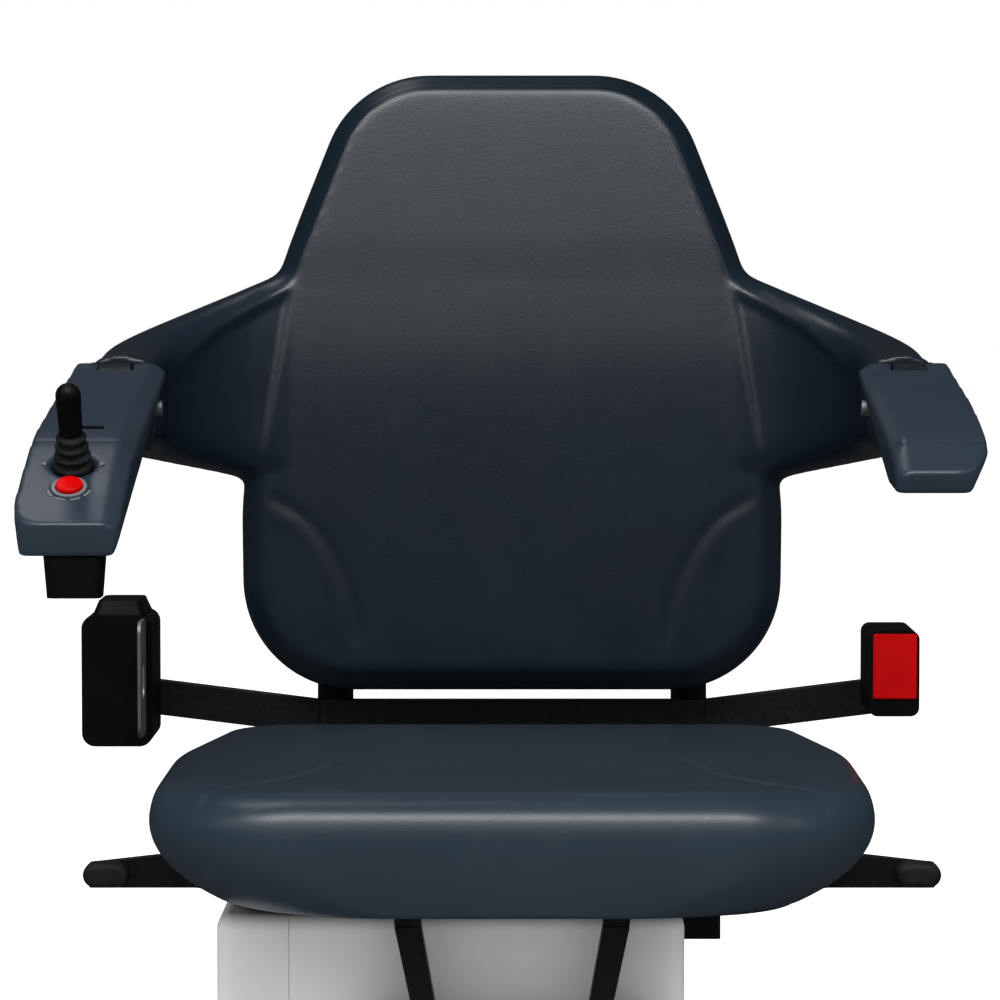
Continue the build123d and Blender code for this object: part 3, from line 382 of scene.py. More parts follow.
def ring_faces(rows, columns):
    """Quads between neighbouring rows of a closed ring of columns."""
    row, column = np.meshgrid(np.arange(rows - 1), np.arange(columns), indexing="ij")
    beside = (column + 1) % columns
    low, high = row * columns, (row + 1) * columns
    return np.stack([low + column, low + beside, high + beside, high + column], -1).reshape(-1, 4)


def closed_rings(rings):
    """Points and faces of stacked rings, with a fan to the middle of the first and of the last."""
    rows, columns = rings.shape[:2]
    points = np.concatenate([rings.reshape(-1, 3), rings[:1].mean(1), rings[-1:].mean(1)])
    column = np.arange(columns)
    beside = (column + 1) % columns
    last = (rows - 1) * columns
    first_fan = np.stack([beside, column, np.full(columns, rows * columns)], -1)
    last_fan = np.stack([last + column, last + beside, np.full(columns, rows * columns + 1)], -1)
    return points, ring_faces(rows, columns).tolist() + first_fan.tolist() + last_fan.tolist()


def outward(mesh):
    """Turns every face over if together they enclose a negative volume."""
    shape = bmesh.new()
    shape.from_mesh(mesh)
    if shape.calc_volume(signed=True) < 0:
        bmesh.ops.reverse_faces(shape, faces=shape.faces)
    shape.to_mesh(mesh)
    shape.free()


def new_mesh(name, points, faces):
    """Mesh of points and of faces that list them, with every face turned outward."""
    mesh = bpy.data.meshes.new(name)
    mesh.from_pydata(points.tolist(), [], faces)
    outward(mesh)
    return mesh


def read(items, name, width, kind=float):
    """What each item of a mesh holds under a name, as rows of a width."""
    flat = np.empty(width * len(items), dtype=kind)
    items.foreach_get(name, flat)
    return flat.reshape(-1, width)


def get_points(mesh):
    return read(mesh.vertices, "co", 3)


def set_points(mesh, points):
    mesh.vertices.foreach_set("co", points.ravel())
    mesh.update()


def store(mesh, name, values):
    """Puts a value on each point, for a shader to read."""
    mesh.attributes.new(name, "FLOAT", "POINT").data.foreach_set("value", values)


def relax(mesh, share, rounds):
    """Moves every point a share of the way to the mean of its neighbours, a number of times."""
    points = get_points(mesh)
    count = len(points)
    a, b = read(mesh.edges, "vertices", 2, np.int32).T
    neighbours = np.bincount(a, minlength=count) + np.bincount(b, minlength=count)
    share = np.broadcast_to(share, count)[:, None]
    for _ in range(rounds):
        total = np.stack([
            np.bincount(a, points[b, k], count) + np.bincount(b, points[a, k], count) for k in range(3)
        ], 1)
        points += share * (total / neighbours[:, None] - points)
    set_points(mesh, points)


def remeshed(mesh, size):
    """The skin of everything in the mesh, as even cells of a size."""
    holder = bpy.data.objects.new("holder", mesh)
    bpy.context.collection.objects.link(holder)
    modifier = holder.modifiers.new("skin", "REMESH")
    modifier.mode = "VOXEL"
    modifier.voxel_size = size
    skin = bpy.data.meshes.new_from_object(holder.evaluated_get(bpy.context.evaluated_depsgraph_get()))
    bpy.data.objects.remove(holder)
    bpy.data.meshes.remove(mesh)
    outward(skin)
    return skin


def merged_copy(node):
    """The node's shape with its doubled points joined."""
    shape = bmesh.new()
    shape.from_mesh(frame["nodes"][node].data)
    bmesh.ops.remove_doubles(shape, verts=shape.verts, dist=1e-5)
    return shape


def mesh_from(shape, name):
    """New mesh of a shape, which is used up."""
    mesh = bpy.data.meshes.new(name)
    shape.to_mesh(mesh)
    shape.free()
    return mesh


def body_of(node):
    """Name of the body that the record puts a node on."""
    bodies = frame["record"]["behaviour"]["bodies"]
    return next(name for name, held in bodies.items() if node in held)


def finish_piece(name, mesh, material, body, smooth_angle=None):
    """Object of a mesh with one material, smooth all over or up to an angle, riding on a body."""
    mesh.materials.clear()
    mesh.materials.append(material)
    mesh.shade_smooth()
    if smooth_angle:
        mesh.set_sharp_from_angle(angle=radians(smooth_angle))
    piece = bpy.data.objects.new(name, mesh)
    bpy.context.collection.objects.link(piece)
    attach(piece, body)
    return piece


def stand_in(piece, node):
    """Hides the solid of the node that the piece stands for."""
    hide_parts(node)


def beside_line(points, line):
    """Distance of each point to a sampled line, and its side: 1 on the right and -1 on the left."""
    step = np.gradient(line, axis=0)
    normal = unit(np.stack([step[:, 1], -step[:, 0]], 1))
    distance, side = np.empty(len(points)), np.empty(len(points))
    for part in np.array_split(np.arange(len(points)), max(1, len(points) // 4000)):
        away = points[part, None] - line[None]
        gap = np.linalg.norm(away, axis=-1)
        row, near = np.arange(len(part)), gap.argmin(1)
        distance[part] = gap[row, near]
        side[part] = np.sign(np.sum(away[row, near] * normal[near], -1))
    return distance, side


def joined(parts):
    """Points and faces of several (points, faces) as one."""
    points, faces, count = [], [], 0
    for more_points, more_faces in parts:
        points.append(more_points)
        faces += [[count + corner for corner in face] for face in more_faces]
        count += len(more_points)
    return np.concatenate(points), faces


# ---------------------------------------------------------------- backrest with its two wings
def back_local(points):
    """Across, up the slope and out of the face, from the middle of the lower edge."""
    away = points - BACK_ORIGIN
    return np.stack([away[:, 0], away @ BACK_UP, away @ BACK_OUT], 1)


def back_world(local):
    """Points from their places across, up the slope and out of the face."""
    across, up, out = local[..., :1], local[..., 1:2], local[..., 2:]
    return BACK_ORIGIN + across * [1, 0, 0] + up * BACK_UP + out * BACK_OUT


def pad_rings():
    """The pad as rings round its outline, each drawn in by an inset at a depth behind the face.

    In millimetres, the rim slopes down from the face as d = 4 - 1.1(sqrt(t^2 + 1) + t)/2 of the
    distance t = 12.5 - i outside its crease, from the inset i = 62 to 3.5, and turns down to 20 behind
    the face along a parabola; the crown 0.5(1 - exp(-(i/25)^2)) is added.  The rear roll is a
    quarter ellipse 16 wide and 22 deep that starts 26 behind the face."""
    rim = np.array([62, 50, 40, 31, 25, 20, 17, 15, 14, 13.2, 12.5, 11.8, 11, 10, 8.5, 7, 5.2, 3.5])
    crease, fall, crown = 12.5, 1.1, 0.5
    edge_depth, roll_start, roll_width, roll_depth = 20, 26, 16, 22
    out = crease - rim
    slope = 4 - fall * (np.sqrt(out ** 2 + 1) + out) / 2
    turn = np.linspace(1, 0, 7)[1:]
    inset = np.concatenate([rim, rim[-1] * turn ** 2])
    knee = slope[-1] - fall * rim[-1]
    bend = -edge_depth * (1 - turn) ** 2 + 2 * turn * (1 - turn) * knee + turn ** 2 * slope[-1]
    depth = np.concatenate([slope, bend]) + crown * (1 - np.exp(-(inset / 25) ** 2))
    angle = np.linspace(0, pi / 2, 7)
    inset = np.concatenate([inset, roll_width * (1 - np.cos(angle))]) / 1000
    depth = np.concatenate([depth, -roll_start - roll_depth * np.sin(angle)]) / 1000
    corners = drawn_in(BACK_CORNERS[None], inset[:, None, None])
    line = rounded_outline(corners, BACK_RADII - inset[:, None], 16, 12)
    local = np.concatenate([line, np.broadcast_to(depth[:, None, None], (*line.shape[:2], 1))], -1)
    return back_world(local)


def wing_edge(share, sign):
    """Height of the wing's top (sign 1) or lower edge (sign -1) at a share of its length."""
    if sign > 0:
        return SEAT_TOP + WING_TOP + WING_TOP_RISE * (1 - share) ** WING_SWEEP
    return SEAT_TOP + WING_FOOT - WING_FOOT_DROP * (1 - share) ** 2


def wing_rings():
    """Right wing: a rounded rectangle carried round a quarter circle of radius 123 mm about the point
    (129, 128) and then straight forward; it leans with the backrest at the rear and stands upright at
    the front."""
    turn_run, straight_run = WING_REACH * pi / 2, WING_CY - WING_END_Y
    run = np.linspace(0, turn_run + straight_run, 60)
    share = run / run[-1]
    turn = np.maximum(pi / 2 - run / WING_REACH, 0)
    top, foot = wing_edge(share, 1), wing_edge(share, -1)
    out = np.stack([np.cos(turn), np.sin(turn), np.zeros_like(turn)], 1)
    forward = WING_CY - np.maximum(run - turn_run, 0)
    centre = np.stack([np.full_like(turn, WING_CX), forward, (top + foot) / 2], 1) + out * WING_REACH
    half_t, half_h = np.full_like(turn, WING_T / 2), (top - foot) / 2
    corners = np.stack([
        np.stack([-half_t, -half_h], 1), np.stack([half_t, -half_h], 1),
        np.stack([half_t, half_h], 1), np.stack([-half_t, half_h], 1),
    ], 1)
    line = rounded_outline(corners, np.full((len(run), 4), WING_ROUND), 8, 12)
    lean = -BACK_LEAN * np.sin(turn)[:, None]
    across = line[..., 0] * np.cos(lean) - line[..., 1] * np.sin(lean)
    up = line[..., 0] * np.sin(lean) + line[..., 1] * np.cos(lean)
    return centre[:, None] + across[..., None] * out[:, None] + up[..., None] * [0, 0, 1]


def wing_place(points):
    """Share of the wing's length, drop below its top edge, and distance outward of its middle line."""
    x, y, z = np.abs(points[:, 0]), points[:, 1], points[:, 2]
    turn = np.clip(np.arctan2(y - WING_CY, x - WING_CX), 0, pi / 2)
    straight = np.clip(WING_CY - y, 0, None)
    run = WING_REACH * (pi / 2 - turn) + straight
    share = np.clip(run / (WING_REACH * pi / 2 + WING_CY - WING_END_Y), 0, 1)
    round_part = np.hypot(x - WING_CX, y - WING_CY) - WING_REACH
    out = np.where(y < WING_CY, x - WING_CX - WING_REACH, round_part)
    return share, wing_edge(share, 1) - z, out


def outline_inset(local):
    """How far each point lies inside the pad's outline, less than 0 outside it."""
    outline = rounded_outline(BACK_CORNERS, BACK_RADII, 60, 60)
    gap, side = beside_line(local[:, :2], np.concatenate([outline, outline[:1]]))
    return -side * gap


def ease_joins(mesh):
    """Relaxes the skin where the wings grow out of the pad's rim, and leaves the pad's face alone."""
    local = back_local(get_points(mesh))
    inset, up = outline_inset(local), local[:, 1]
    join = ease(np.abs(inset), 0.040, 0.010) * ease(up, 0.13, 0.17) * ease(up, 0.335, 0.290)
    join *= ease(inset, 0.014, 0.006)
    relax(mesh, 0.6 * join, 24)


def face_bend(up):
    """How far the face lies behind its plane at a height t over the bend, which is 226 mm up the slope:
    tan(4.3)(sqrt(t^2 + w^2) - w) + tan(1.3) t, which turns over about 80 mm with w = 34 mm."""
    above = up - BEND_UP
    turn = np.sqrt(above ** 2 + BEND_WIDTH ** 2) - BEND_WIDTH
    return tan(radians(4.3)) * turn + tan(radians(1.3)) * above


def groove_pad(local, front):
    """Presses a 0.8 mm deep groove with a 0.3 mm roll beside it into each side of the pad, both as
    exp(-(t/w)^2) of the distance t, and gives the distance of each point to the seam."""
    crease = np.full(len(local), NO_LINE)
    for sign in (-1, 1):
        gap, side = beside_line(local[:, :2], smooth_run(PAD_GROOVE, 90) * [sign, 1])
        fade = ease(local[:, 1], 0.018, 0.045) * ease(np.abs(local[:, 0]), 0.178, 0.158) * front
        local[:, 2] -= PAD_GROOVE_DEPTH * hump(gap, 0, 0.0044) * fade
        local[:, 2] += PAD_ROLL_RISE * hump(gap, 0.0085, 0.0065) * fade * (side * sign < 0)
        crease = np.minimum(crease, gap + 0.0015 + 0.002 * (1 - fade))
    return crease


def wing_relief(points, inset, up):
    """Height over the wing's inner face: a crest 1.1 mm high along a line that starts 12.5 mm under its
    top and drops by 4 mm for each tenth of its length past a third, and 2.6 mm of hollow under it."""
    share, drop, out = wing_place(points)
    inner = ease(-out, 0.004, 0.014) * ease(inset, 0.0150, 0.0085)
    below = drop - CREST_DROP - 0.04 * np.maximum(share - 0.33, 0)
    crest = hump(below, -0.001, 0.0044) * ease(share, 0.70, 0.45)
    hollow = ease(below, -0.002, 0.008) * ease(share, 0.55, 0.22) * ease(up, 0.13, 0.20)
    return (CREST_RISE * crest - WING_HOLLOW * hollow) * inner


def backrest(material):
    """Pad and wings as one skin: the face leans back 5.6 degrees more above its bend and 3 degrees the
    other way below it, a crest runs along each wing up to the edge of the pad's face, and a shallow
    groove on each side of the pad curves in below the wings."""
    wing = wing_rings()
    parts = [closed_rings(pad_rings()), closed_rings(wing), closed_rings(wing * [-1, 1, 1])]
    mesh = remeshed(new_mesh("backrest_moulding", *joined(parts)), BACK_CELL)
    relax(mesh, 0.5, 5)
    ease_joins(mesh)

    local = back_local(get_points(mesh))
    inset, front = outline_inset(local), ease(local[:, 2], -0.046, 0)
    local[:, 2] -= face_bend(local[:, 1]) * front * ease(inset, -0.020, 0)
    crease = groove_pad(local, front)
    points = back_world(local)
    points += read(mesh.vertices, "normal", 3) * wing_relief(points, inset, local[:, 1])[:, None]
    set_points(mesh, points)

    above_wings = ease(local[:, 1], 0.275, 0.315)
    store(mesh, "inset", inset)
    store(mesh, "edge", above_wings * front)
    store(mesh, "crease", crease)
    # painted shade: darker rim colour along the pad's rolled rim above the wings, standing in for a dark
    # reflection
    store(mesh, "rim", ease(inset, 0.0115, 0.0085) * above_wings)
    piece = finish_piece("backrest_moulding", mesh, material, "turntable")
    stand_in(piece, "backrest_pad")


# ---------------------------------------------------------------- cushion
def cushion_rings():
    """Rings of the cushion's outside from its foot over the shoulder, as height, inset at the sides and
    inset at the front, in millimetres.

    The wall rises to 30 and the shoulder from there to 71, as 30 + 41 sin(a)^(2/3) of the angle a.
    The sides are drawn in by 38(1 - h/54)^2.3 towards the foot at the height h and by
    16(1 - cos(a)^(2/3)) over the shoulder; the front by 5(1 - h/30)^2 and 40(1 - cos(a)^(2/3))."""
    angle = np.concatenate([np.zeros(12), np.linspace(0, pi / 2, 42) ** 1.3 / (pi / 2) ** 0.3])
    wall = np.concatenate([np.linspace(0, 28, 12), np.full(42, 30)])
    fall = 1 - np.cos(angle).clip(0) ** (2 / 3)
    up = wall + 41 * np.sin(angle) ** (2 / 3)
    side = 38 * np.clip(1 - up / 54, 0, 1) ** 2.3 + 16 * fall
    front = 5 * np.clip(1 - up / 30, 0, 1) ** 2 + 40 * fall
    return up / 1000, side / 1000, front / 1000


def cushion_shell():
    """Rounded outline that is wide at the front and narrows behind its waist, drawn in ring by ring up
    to the edge of the top."""
    up, side, front = cushion_rings()
    corners = np.stack([
        np.stack([CUSHION_HALF - side, CUSHION_FRONT + front], 1),
        np.stack([CUSHION_HALF - side, np.full_like(side, CUSHION_WAIST_Y)], 1),
        np.stack([CUSHION_HALF_REAR - side, CUSHION_REAR - side / 2], 1),
    ], 1)
    corners = np.concatenate([corners, corners[:, ::-1] * [-1, 1]], 1)
    ahead = CUSHION_ROUND + 0.7 * side
    waist, rear = np.full_like(side, CUSHION_ROUND_WAIST), np.full_like(side, CUSHION_ROUND_REAR)
    line = rounded_outline(corners, np.stack([ahead, waist, rear, rear, waist, ahead], 1), 44, 34)
    heights = np.broadcast_to((CUSHION_FOOT + up)[:, None, None], (*line.shape[:2], 1))
    return np.concatenate([line, heights], -1)


def cushion_top(edge):
    """Rings that shrink evenly from the edge in to the middle, while the height falls 3.6 mm as a
    shallow dish: z = top - 3.6(1 - s^2)^2 at the share s of the way out."""
    share = np.linspace(1, 0.01, 84)[1:, None]
    top = CUSHION_MIDDLE + (edge - CUSHION_MIDDLE) * share[..., None]
    height = SEAT_TOP - CUSHION_DISH * (1 - share ** 2) ** 2
    return np.concatenate([top, np.broadcast_to(height[..., None], (*top.shape[:2], 1))], -1)


def groove_cushion(points):
    """Presses a 1.1 mm deep groove, exp(-(t/w)^2) of the distance t, into each side of the top, faded
    out at the front roll and at the rear, and gives the distance of each point to its seam."""
    upper = ease(points[:, 2], SEAT_TOP - 0.026, SEAT_TOP - 0.010)
    crease = np.full(len(points), NO_LINE)
    for sign in (-1, 1):
        gap, outer = beside_line(points[:, :2], smooth_run(CUSHION_GROOVE, 140) * [sign, 1])
        fade = ease(points[:, 1], -0.010, -0.060) * ease(points[:, 1], -0.224, -0.206) * upper
        points[:, 2] -= CUSHION_GROOVE_DEPTH * hump(gap, 0.0040, 0.0040) * fade * (outer * sign > 0)
        crease = np.minimum(crease, gap + 0.003 * (1 - fade))
    return crease


def cushion(material):
    """Cushion of one moulded piece, with its shell, dished top and grooves."""
    shell = cushion_shell()
    points, faces = closed_rings(np.concatenate([shell, cushion_top(shell[-1, :, :2])]))
    crease = groove_cushion(points)
    mesh = new_mesh("seat_moulding", points, faces)
    store(mesh, "crease", crease)
    piece = finish_piece("seat_moulding", mesh, material, "seat")
    stand_in(piece, "seat_cushion")


# ---------------------------------------------------------------- armrests and joystick
def armrest(side, material):
    """The solid's skin in 1.4 mm cells, relaxed until its edges are rounded by about 4 mm.  The break in
    its top is eased by k(sqrt(t^2 + w^2) - |t|) at the distance t from it, less towards the foot."""
    node = f"armrest_{side}"
    mesh = remeshed(mesh_from(merged_copy(node), f"{node}_moulding"), ARM_CELL)
    relax(mesh, 0.5, 14)
    points = get_points(mesh)
    away = np.abs(points[:, 1] - ARM_BREAK[0])
    drop, width = BREAK_EASE[side]
    share = ease(points[:, 2], ARM_BREAK[1] - 0.034, ARM_BREAK[1] - 0.006)
    points[:, 2] -= drop * (np.sqrt(away ** 2 + width ** 2) - away) * share
    set_points(mesh, points)
    stand_in(finish_piece(f"{node}_moulding", mesh, material, f"arm_{side}"), node)


def nose_frame(y):
    """Point on the sloping nose of the left arm, with the directions across, along and off it."""
    run, fall = ARM_TIP - ARM_BREAK
    slope = unit(np.array([0, -run, -fall]))
    z = ARM_BREAK[1] + (y - ARM_BREAK[0]) / run * fall
    return np.array([STICK_X, y, z]), np.array([1, 0, 0]), slope, np.array([0, -slope[2], slope[1]])


def on_nose(y, across, along, off):
    """Points from their places about the point of the nose at y."""
    origin, x_axis, y_axis, z_axis = nose_frame(y)
    return origin + across[..., None] * x_axis + along[..., None] * y_axis + off[..., None] * z_axis


def turned(height, radius, count):
    """Rings round the joystick's axis, of a radius at each height over the nose."""
    turn = np.linspace(0, 2 * pi, count, endpoint=False)
    off = np.broadcast_to(height[:, None], (len(height), count))
    return on_nose(STICK_Y, radius[:, None] * np.cos(turn), radius[:, None] * np.sin(turn), off)


def gaiter(material):
    """Rubber gaiter turned round the stem: radius 10.3 mm less 0.16 of the height h, with three and a
    half folds 0.9(1 + cos(2 pi h / pitch)) mm proud, drawn in to the stem at the top along a parabola;
    a ball closes it below."""
    height = np.linspace(0, BOOT_H, 64)
    fold = 0.0009 * (1 + np.cos(2 * pi * height / (BOOT_H / 3.5)))
    radius = BOOT_R - 0.0022 - 0.16 * height + fold
    radius = np.minimum(radius, STEM_R + 0.9 * np.sqrt(np.clip(BOOT_H - height, 0, None) * 0.012))
    dip = np.linspace(-pi / 2, 0, 18)[1:-1]
    height = np.concatenate([BOOT_R * np.sin(dip), height])
    radius = np.concatenate([(BOOT_R - 0.0004) * np.cos(dip), radius])
    mesh = new_mesh("joystick_gaiter", *closed_rings(turned(height, radius, 72)))
    stand_in(finish_piece("joystick_gaiter", mesh, material, "joystick"), "joystick_boot")


def grip_rings():
    """Handle turned round the stem, from 6.9 mm at the gaiter to 7.5 mm under its round top, with a
    shallow groove where the cap meets the sleeve."""
    sleeve = np.linspace(0.012, STICK_H - KNOB_R, 60)
    radius = SLEEVE_R + (KNOB_R - SLEEVE_R) * ease(sleeve, 0.020, STICK_H - KNOB_R)
    radius -= 0.0005 * hump(sleeve, STICK_H - 0.017, 0.0007)
    dome = np.linspace(0, pi / 2, 18)[1:-1]
    height = np.concatenate([sleeve, STICK_H - KNOB_R + KNOB_R * np.sin(dome)])
    return turned(height, np.concatenate([radius, KNOB_R * np.cos(dome)]), 64)


def pin_rings():
    """Finger pin: a round rod with a domed end that points to the sitter, 4 mm over the gaiter."""
    dome = np.linspace(0, pi / 2, 8)[1:-1]
    across = np.linspace(PIN_FOOT, PIN_OUT - PIN_R, 12)
    radius = np.concatenate([np.full_like(across, PIN_R), PIN_R * np.cos(dome)])[:, None]
    across = np.concatenate([across, PIN_OUT - PIN_R + PIN_R * np.sin(dome)])
    turn = np.linspace(0, 2 * pi, 20, endpoint=False)
    across = np.broadcast_to(across[:, None], (len(across), len(turn)))
    return on_nose(STICK_Y, across, radius * np.cos(turn), BOOT_H + 0.004 + radius * np.sin(turn))


def handle(material):
    """Black plastic handle and its pin, which stand for the stem and the knob."""
    parts = [closed_rings(grip_rings()), closed_rings(pin_rings())]
    mesh = new_mesh("joystick_handle", *joined(parts))
    piece = finish_piece("joystick_handle", mesh, material, "joystick")
    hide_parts("joystick_stem", "joystick_knob")


def raised_patch(y, across, along):
    """Flat mark with straight sides, on the nose about a point: it stands 0.25 mm proud and starts
    0.2 mm below the surface."""
    low = on_nose(y, across, along, np.full_like(across, -0.0002))
    high = on_nose(y, across, along, np.full_like(across, INK_RISE))
    count = len(across)
    faces = [list(range(count, 2 * count)), list(reversed(range(count)))]
    for i in range(count):
        beside = (i + 1) % count
        faces.append([i, beside, count + beside, count + i])
    return np.concatenate([low, high]), faces


def print_marks(material):
    """Printed marks on the nose of the left arm: an arrowhead each side of the joystick, and four dashes
    round the near side of the stop button, each 30 degrees long and 42 after the one before."""
    patches = []
    for sign in (-1, 1):
        across = sign * np.array([0.0160, 0.0160, 0.0190])
        patches.append(raised_patch(STICK_Y, across, np.array([-0.0022, 0.0022, 0])))
    for dash in range(4):
        turn = radians(192 + 42 * dash) + np.linspace(0, radians(30), 14)
        across = np.concatenate([DASH_INNER * np.cos(turn), DASH_OUTER * np.cos(turn[::-1])])
        along = np.concatenate([DASH_INNER * np.sin(turn), DASH_OUTER * np.sin(turn[::-1])])
        patches.append(raised_patch(STOP_Y, across, along))
    mesh = new_mesh("nose_marks", *joined(patches))
    finish_piece("nose_marks", mesh, material, "arm_left", 30)


def screw_head(spot, normal):
    """Pan head on a spot: a flat flange, a dome of 4 mm radius and 2.2 mm height, and a hexagon socket,
    whose radius at an angle is 1.7 cos(30) / cos(a) of the angle a from a side's middle."""
    turn = np.linspace(0, 2 * pi, 48, endpoint=False)
    socket = cos(pi / 6) / np.cos((turn % (pi / 3)) - pi / 6)
    rings = [(SCREW_R, -0.0010, 1)]
    rings += [(SCREW_R * cos(a), SCREW_RISE * sin(a) + 0.0003, 1) for a in np.linspace(0, 1.05, 9)]
    rings += [(SOCKET_R, 0.0021, socket), (0.0016, 0.0009, socket), (0.0003, 0.0008, 1)]
    beside = unit(np.cross(normal, [0, 0, 1]))
    above = np.cross(beside, normal)
    return closed_rings(np.stack([
        spot + (radius * shape * np.cos(turn))[:, None] * beside
        + (radius * shape * np.sin(turn))[:, None] * above + height * normal
        for radius, height, shape in rings
    ]))


def cover_screws(material):
    """Six screw heads on the rear cover, each where a line forward from behind the chair meets it."""
    cover = frame["nodes"]["back_cover"]
    heads = []
    for sign in (-1, 1):
        for across, up in SCREW_PLACES:
            _, spot, normal, _ = cover.ray_cast((sign * across, 1.0, up), (0, -1, 0))
            heads.append(screw_head(np.array(spot), np.array(normal)))
    mesh = new_mesh("cover_screws", *joined(heads))
    finish_piece("cover_screws", mesh, material, "turntable", 35)


# ---------------------------------------------------------------- steel and plastic pieces
# radius of each piece's edges in millimetres
EDGE_RADII = {
    "mechanism_cover": 0.8, "cover_end_cap": 0.8, "seat_rest_left": 1.0, "seat_rest_right": 1.0,
    "front_crossmember": 1.2, "rear_crossmember": 1.2, "side_rail_left": 1.2, "side_rail_right": 1.2,
    "belt_crossbar": 1.0, "belt_arm_left": 1.0, "belt_arm_right": 1.0, "belt_tongue": 0.5,
    "reel_housing": 1.2, "reel_cap": 0.6, "buckle_housing": 1.2, "buckle_button": 1.0,
    "control_box": 1.2, "base_plate": 1.0, "index_plate": 0.8, "pedestal_gussets": 0.8,
    "turntable_plate": 0.8, "lever_arm_left": 0.8, "lever_arm_right": 0.8, "back_cover": 1.0,
    "post_sockets": 0.8, "post_saddles": 0.8, "seat_hinge_brackets": 0.6, "seat_hinge_leaves": 0.6,
    "rest_pads": 0.8, "latch_guide": 0.6, "lever_bearings": 0.6, "seat_pan": 0.8, "back_plate": 0.5,
}


def rounded_edges(node, radius, material):
    """Copy of a node's solid with its sharp edges rounded."""
    shape = merged_copy(node)
    bmesh.ops.dissolve_limit(shape, angle_limit=radians(0.5), verts=shape.verts, edges=shape.edges)
    mesh = mesh_from(shape, f"{node}_piece")
    piece = finish_piece(f"{node}_piece", mesh, material, body_of(node), 40)
    bevel = piece.modifiers.new("edges", "BEVEL")
    bevel.width = radius / 1000
    bevel.segments = 2
    bevel.limit_method = "ANGLE"
    bevel.angle_limit = radians(38)
    bevel.harden_normals = True
    stand_in(piece, node)


def main():
    """Gives every piece its material and makes the drawn pieces."""
    finish = {
        # the third colour of each skin is a painted shade for the rolled rim; only the backrest stores a
        # rim value that uses it
        "moulded_pu": moulded_skin("backrest_skin", "#0c1822", "#0f1c26", "#0a1720"),
        "cushion_skin": moulded_skin("cushion_skin", "#1e2b35", "#222f39", "#10202e"),
        "arm_moulding": moulded_skin("armrest_skin", "#1f2a35", "#242f39", "#11212f"),
        "steel_black": powder_coat("powder_coated_steel", "#060709", "#0a0b0d", "#24272b"),
        "steel_bright": bright_steel("drawn_steel", "#a8aaae", "#bcbec2", (1.0, 1.0, 0.04)),
        "plastic_black": textured_plastic("black_abs", "#050607", "#08090b", 0.50),
        "plastic_pale": textured_plastic("pale_abs", "#cdcece", "#d3d4d4", 0.46),
        "rubber_black": rubber("black_rubber"),
        "plastic_red": red_plastic("red_acetal"),
        "webbing": webbing("belt_webbing"),
        "board": stained_board("birch_plywood"),
    }
    for node, piece in frame["nodes"].items():
        piece.material_slots[0].material = finish[SLOT_OF[node]]
    backrest(finish["moulded_pu"])
    cushion(finish["cushion_skin"])
    for side in ("left", "right"):
        armrest(side, finish["arm_moulding"])
    gaiter(finish["rubber_black"])
    handle(finish["plastic_black"])
    cover_screws(finish["steel_bright"])
    grey = textured_plastic("grey_marking", "#5d6165", "#6b6f73", 0.50)
    print_marks(grey)
    frame["nodes"]["stop_button_bezel"].material_slots[0].material = grey
    for node, radius in EDGE_RADII.items():
        rounded_edges(node, radius, finish[SLOT_OF[node]])


# ---------------------------------------------------------------- set
def floor():
    """Pale studio floor that the camera sees as white except where the chair's shadow falls."""
    material, tree, shader = blank("studio_floor", {"Roughness": 0.9, "Emission Color": (1, 1, 1, 1)})
    cloud = noise(tree, place(tree), 0.7)
    path = add(tree, "LightPath")
    seen = blend(tree, path.outputs["Is Camera Ray"], "#d2d2d2", tone(tree, cloud, "#eeeeee", "#f2f2f2"))
    seen = blend(tree, path.outputs["Is Glossy Ray"], seen, "#2c2c2c")
    tree.links.new(seen, shader.inputs["Base Color"])
    lift = maths(tree, path.outputs["Is Camera Ray"], 0.45, "MULTIPLY")
    tree.links.new(lift, shader.inputs["Emission Strength"])
    mesh = bpy.data.meshes.new("studio_floor")
    reach = 14.0
    mesh.from_pydata([(-reach, -reach, 0), (reach, -reach, 0), (reach, reach, 0), (-reach, reach, 0)], [],
                     [(0, 1, 2, 3)])
    mesh.materials.append(material)
    piece = bpy.data.objects.new("studio_floor", mesh)
    bpy.context.collection.objects.link(piece)


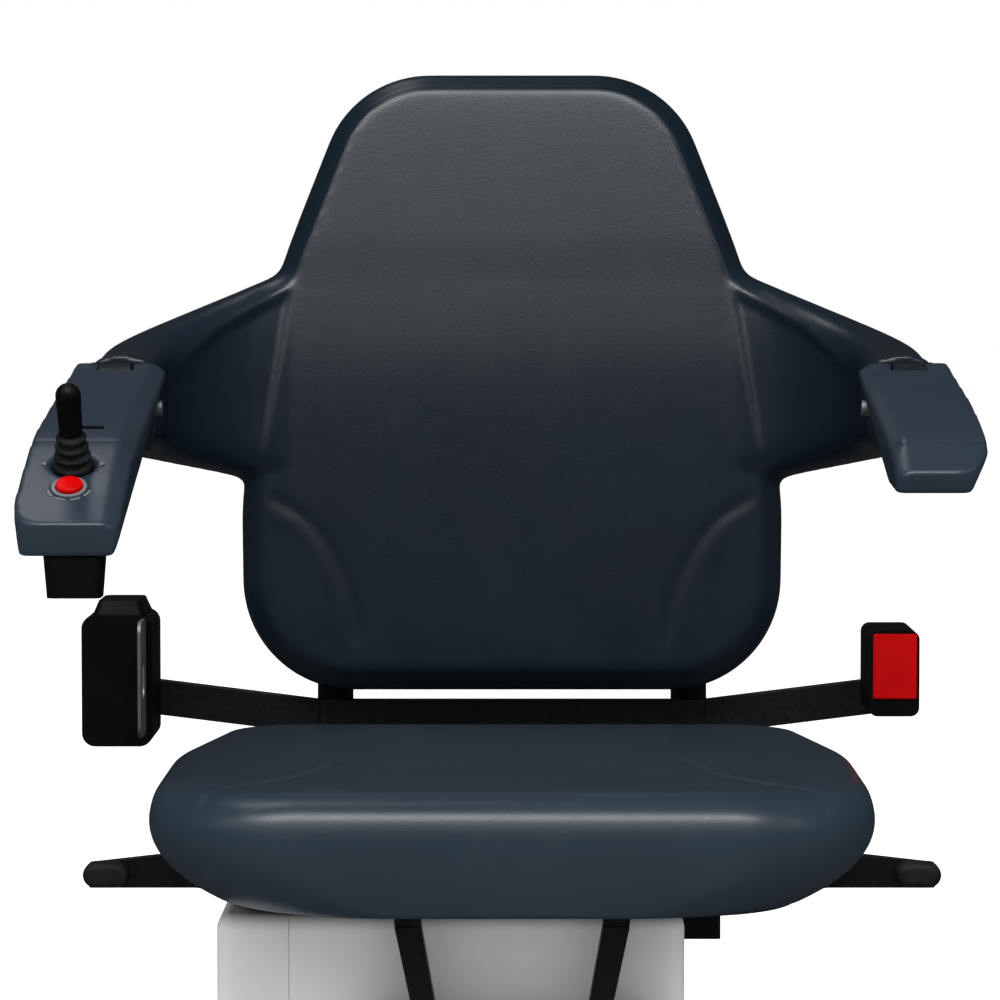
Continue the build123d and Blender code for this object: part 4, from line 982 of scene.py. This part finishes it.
def surroundings():
    """Soft light all round and a white backdrop for the camera; reflections see a dim room."""
    world = bpy.data.worlds.new("studio")
    bpy.context.scene.world = world
    world.use_nodes = True
    tree = world.node_tree
    tree.nodes.clear()
    path = add(tree, "LightPath")
    seen = maths(tree, path.outputs["Is Camera Ray"], path.outputs["Is Transmission Ray"], "MAXIMUM")
    soft = maths(tree, path.outputs["Is Diffuse Ray"], 0.80, "MULTIPLY")
    strength = maths(tree, seen, maths(tree, soft, 0.04, "MAXIMUM"), "MAXIMUM")
    glow = add(tree, "Background", {"Color": (1, 1, 1, 1), "Strength": strength})
    add(tree, "OutputWorld", {"Surface": glow.outputs["Background"]})


def lamp(name, spot, aim, size, power):
    """Soft rectangular lamp that points at a place on the chair."""
    data = bpy.data.lights.new(name, "AREA")
    data.shape = "RECTANGLE"
    data.size, data.size_y = size
    data.energy = power
    piece = bpy.data.objects.new(name, data)
    bpy.context.collection.objects.link(piece)
    piece.location = spot
    piece.rotation_euler = (Vector(aim) - Vector(spot)).to_track_quat("-Z", "Y").to_euler()


def camera():
    """Camera straight in front of the chair, tilted down a little."""
    data = bpy.data.cameras.new("front_view")
    data.lens = LENS
    data.sensor_width = 36
    data.shift_x = CENTRE_SHIFT
    data.clip_end = 100
    piece = bpy.data.objects.new("front_view", data)
    bpy.context.collection.objects.link(piece)
    piece.location = (0, -EYE_DISTANCE, EYE_HEIGHT)
    piece.rotation_euler = (radians(90 - EYE_DIP), 0, 0)
    bpy.context.scene.camera = piece


main()
floor()
surroundings()
lamp("key", (-0.25, -1.95, 3.20), (0, 0, 0.40), (2.5, 0.65), 100)
lamp("low_key", (-0.20, -2.70, 2.05), (0, 0.1, 0.50), (1.8, 0.8), 6)
lamp("top", (-0.82, 1.0, 3.4), (-0.2, 0, 0.4), (0.95, 0.8), 10)
lamp("fill_left", (-2.5, -1.7, 2.5), (0, 0, 0.4), (0.8, 0.8), 6)
lamp("fill_right", (2.5, -1.7, 2.5), (0, 0, 0.4), (0.8, 0.8), 6)
camera()
bpy.context.scene.view_settings.view_transform = "Standard"
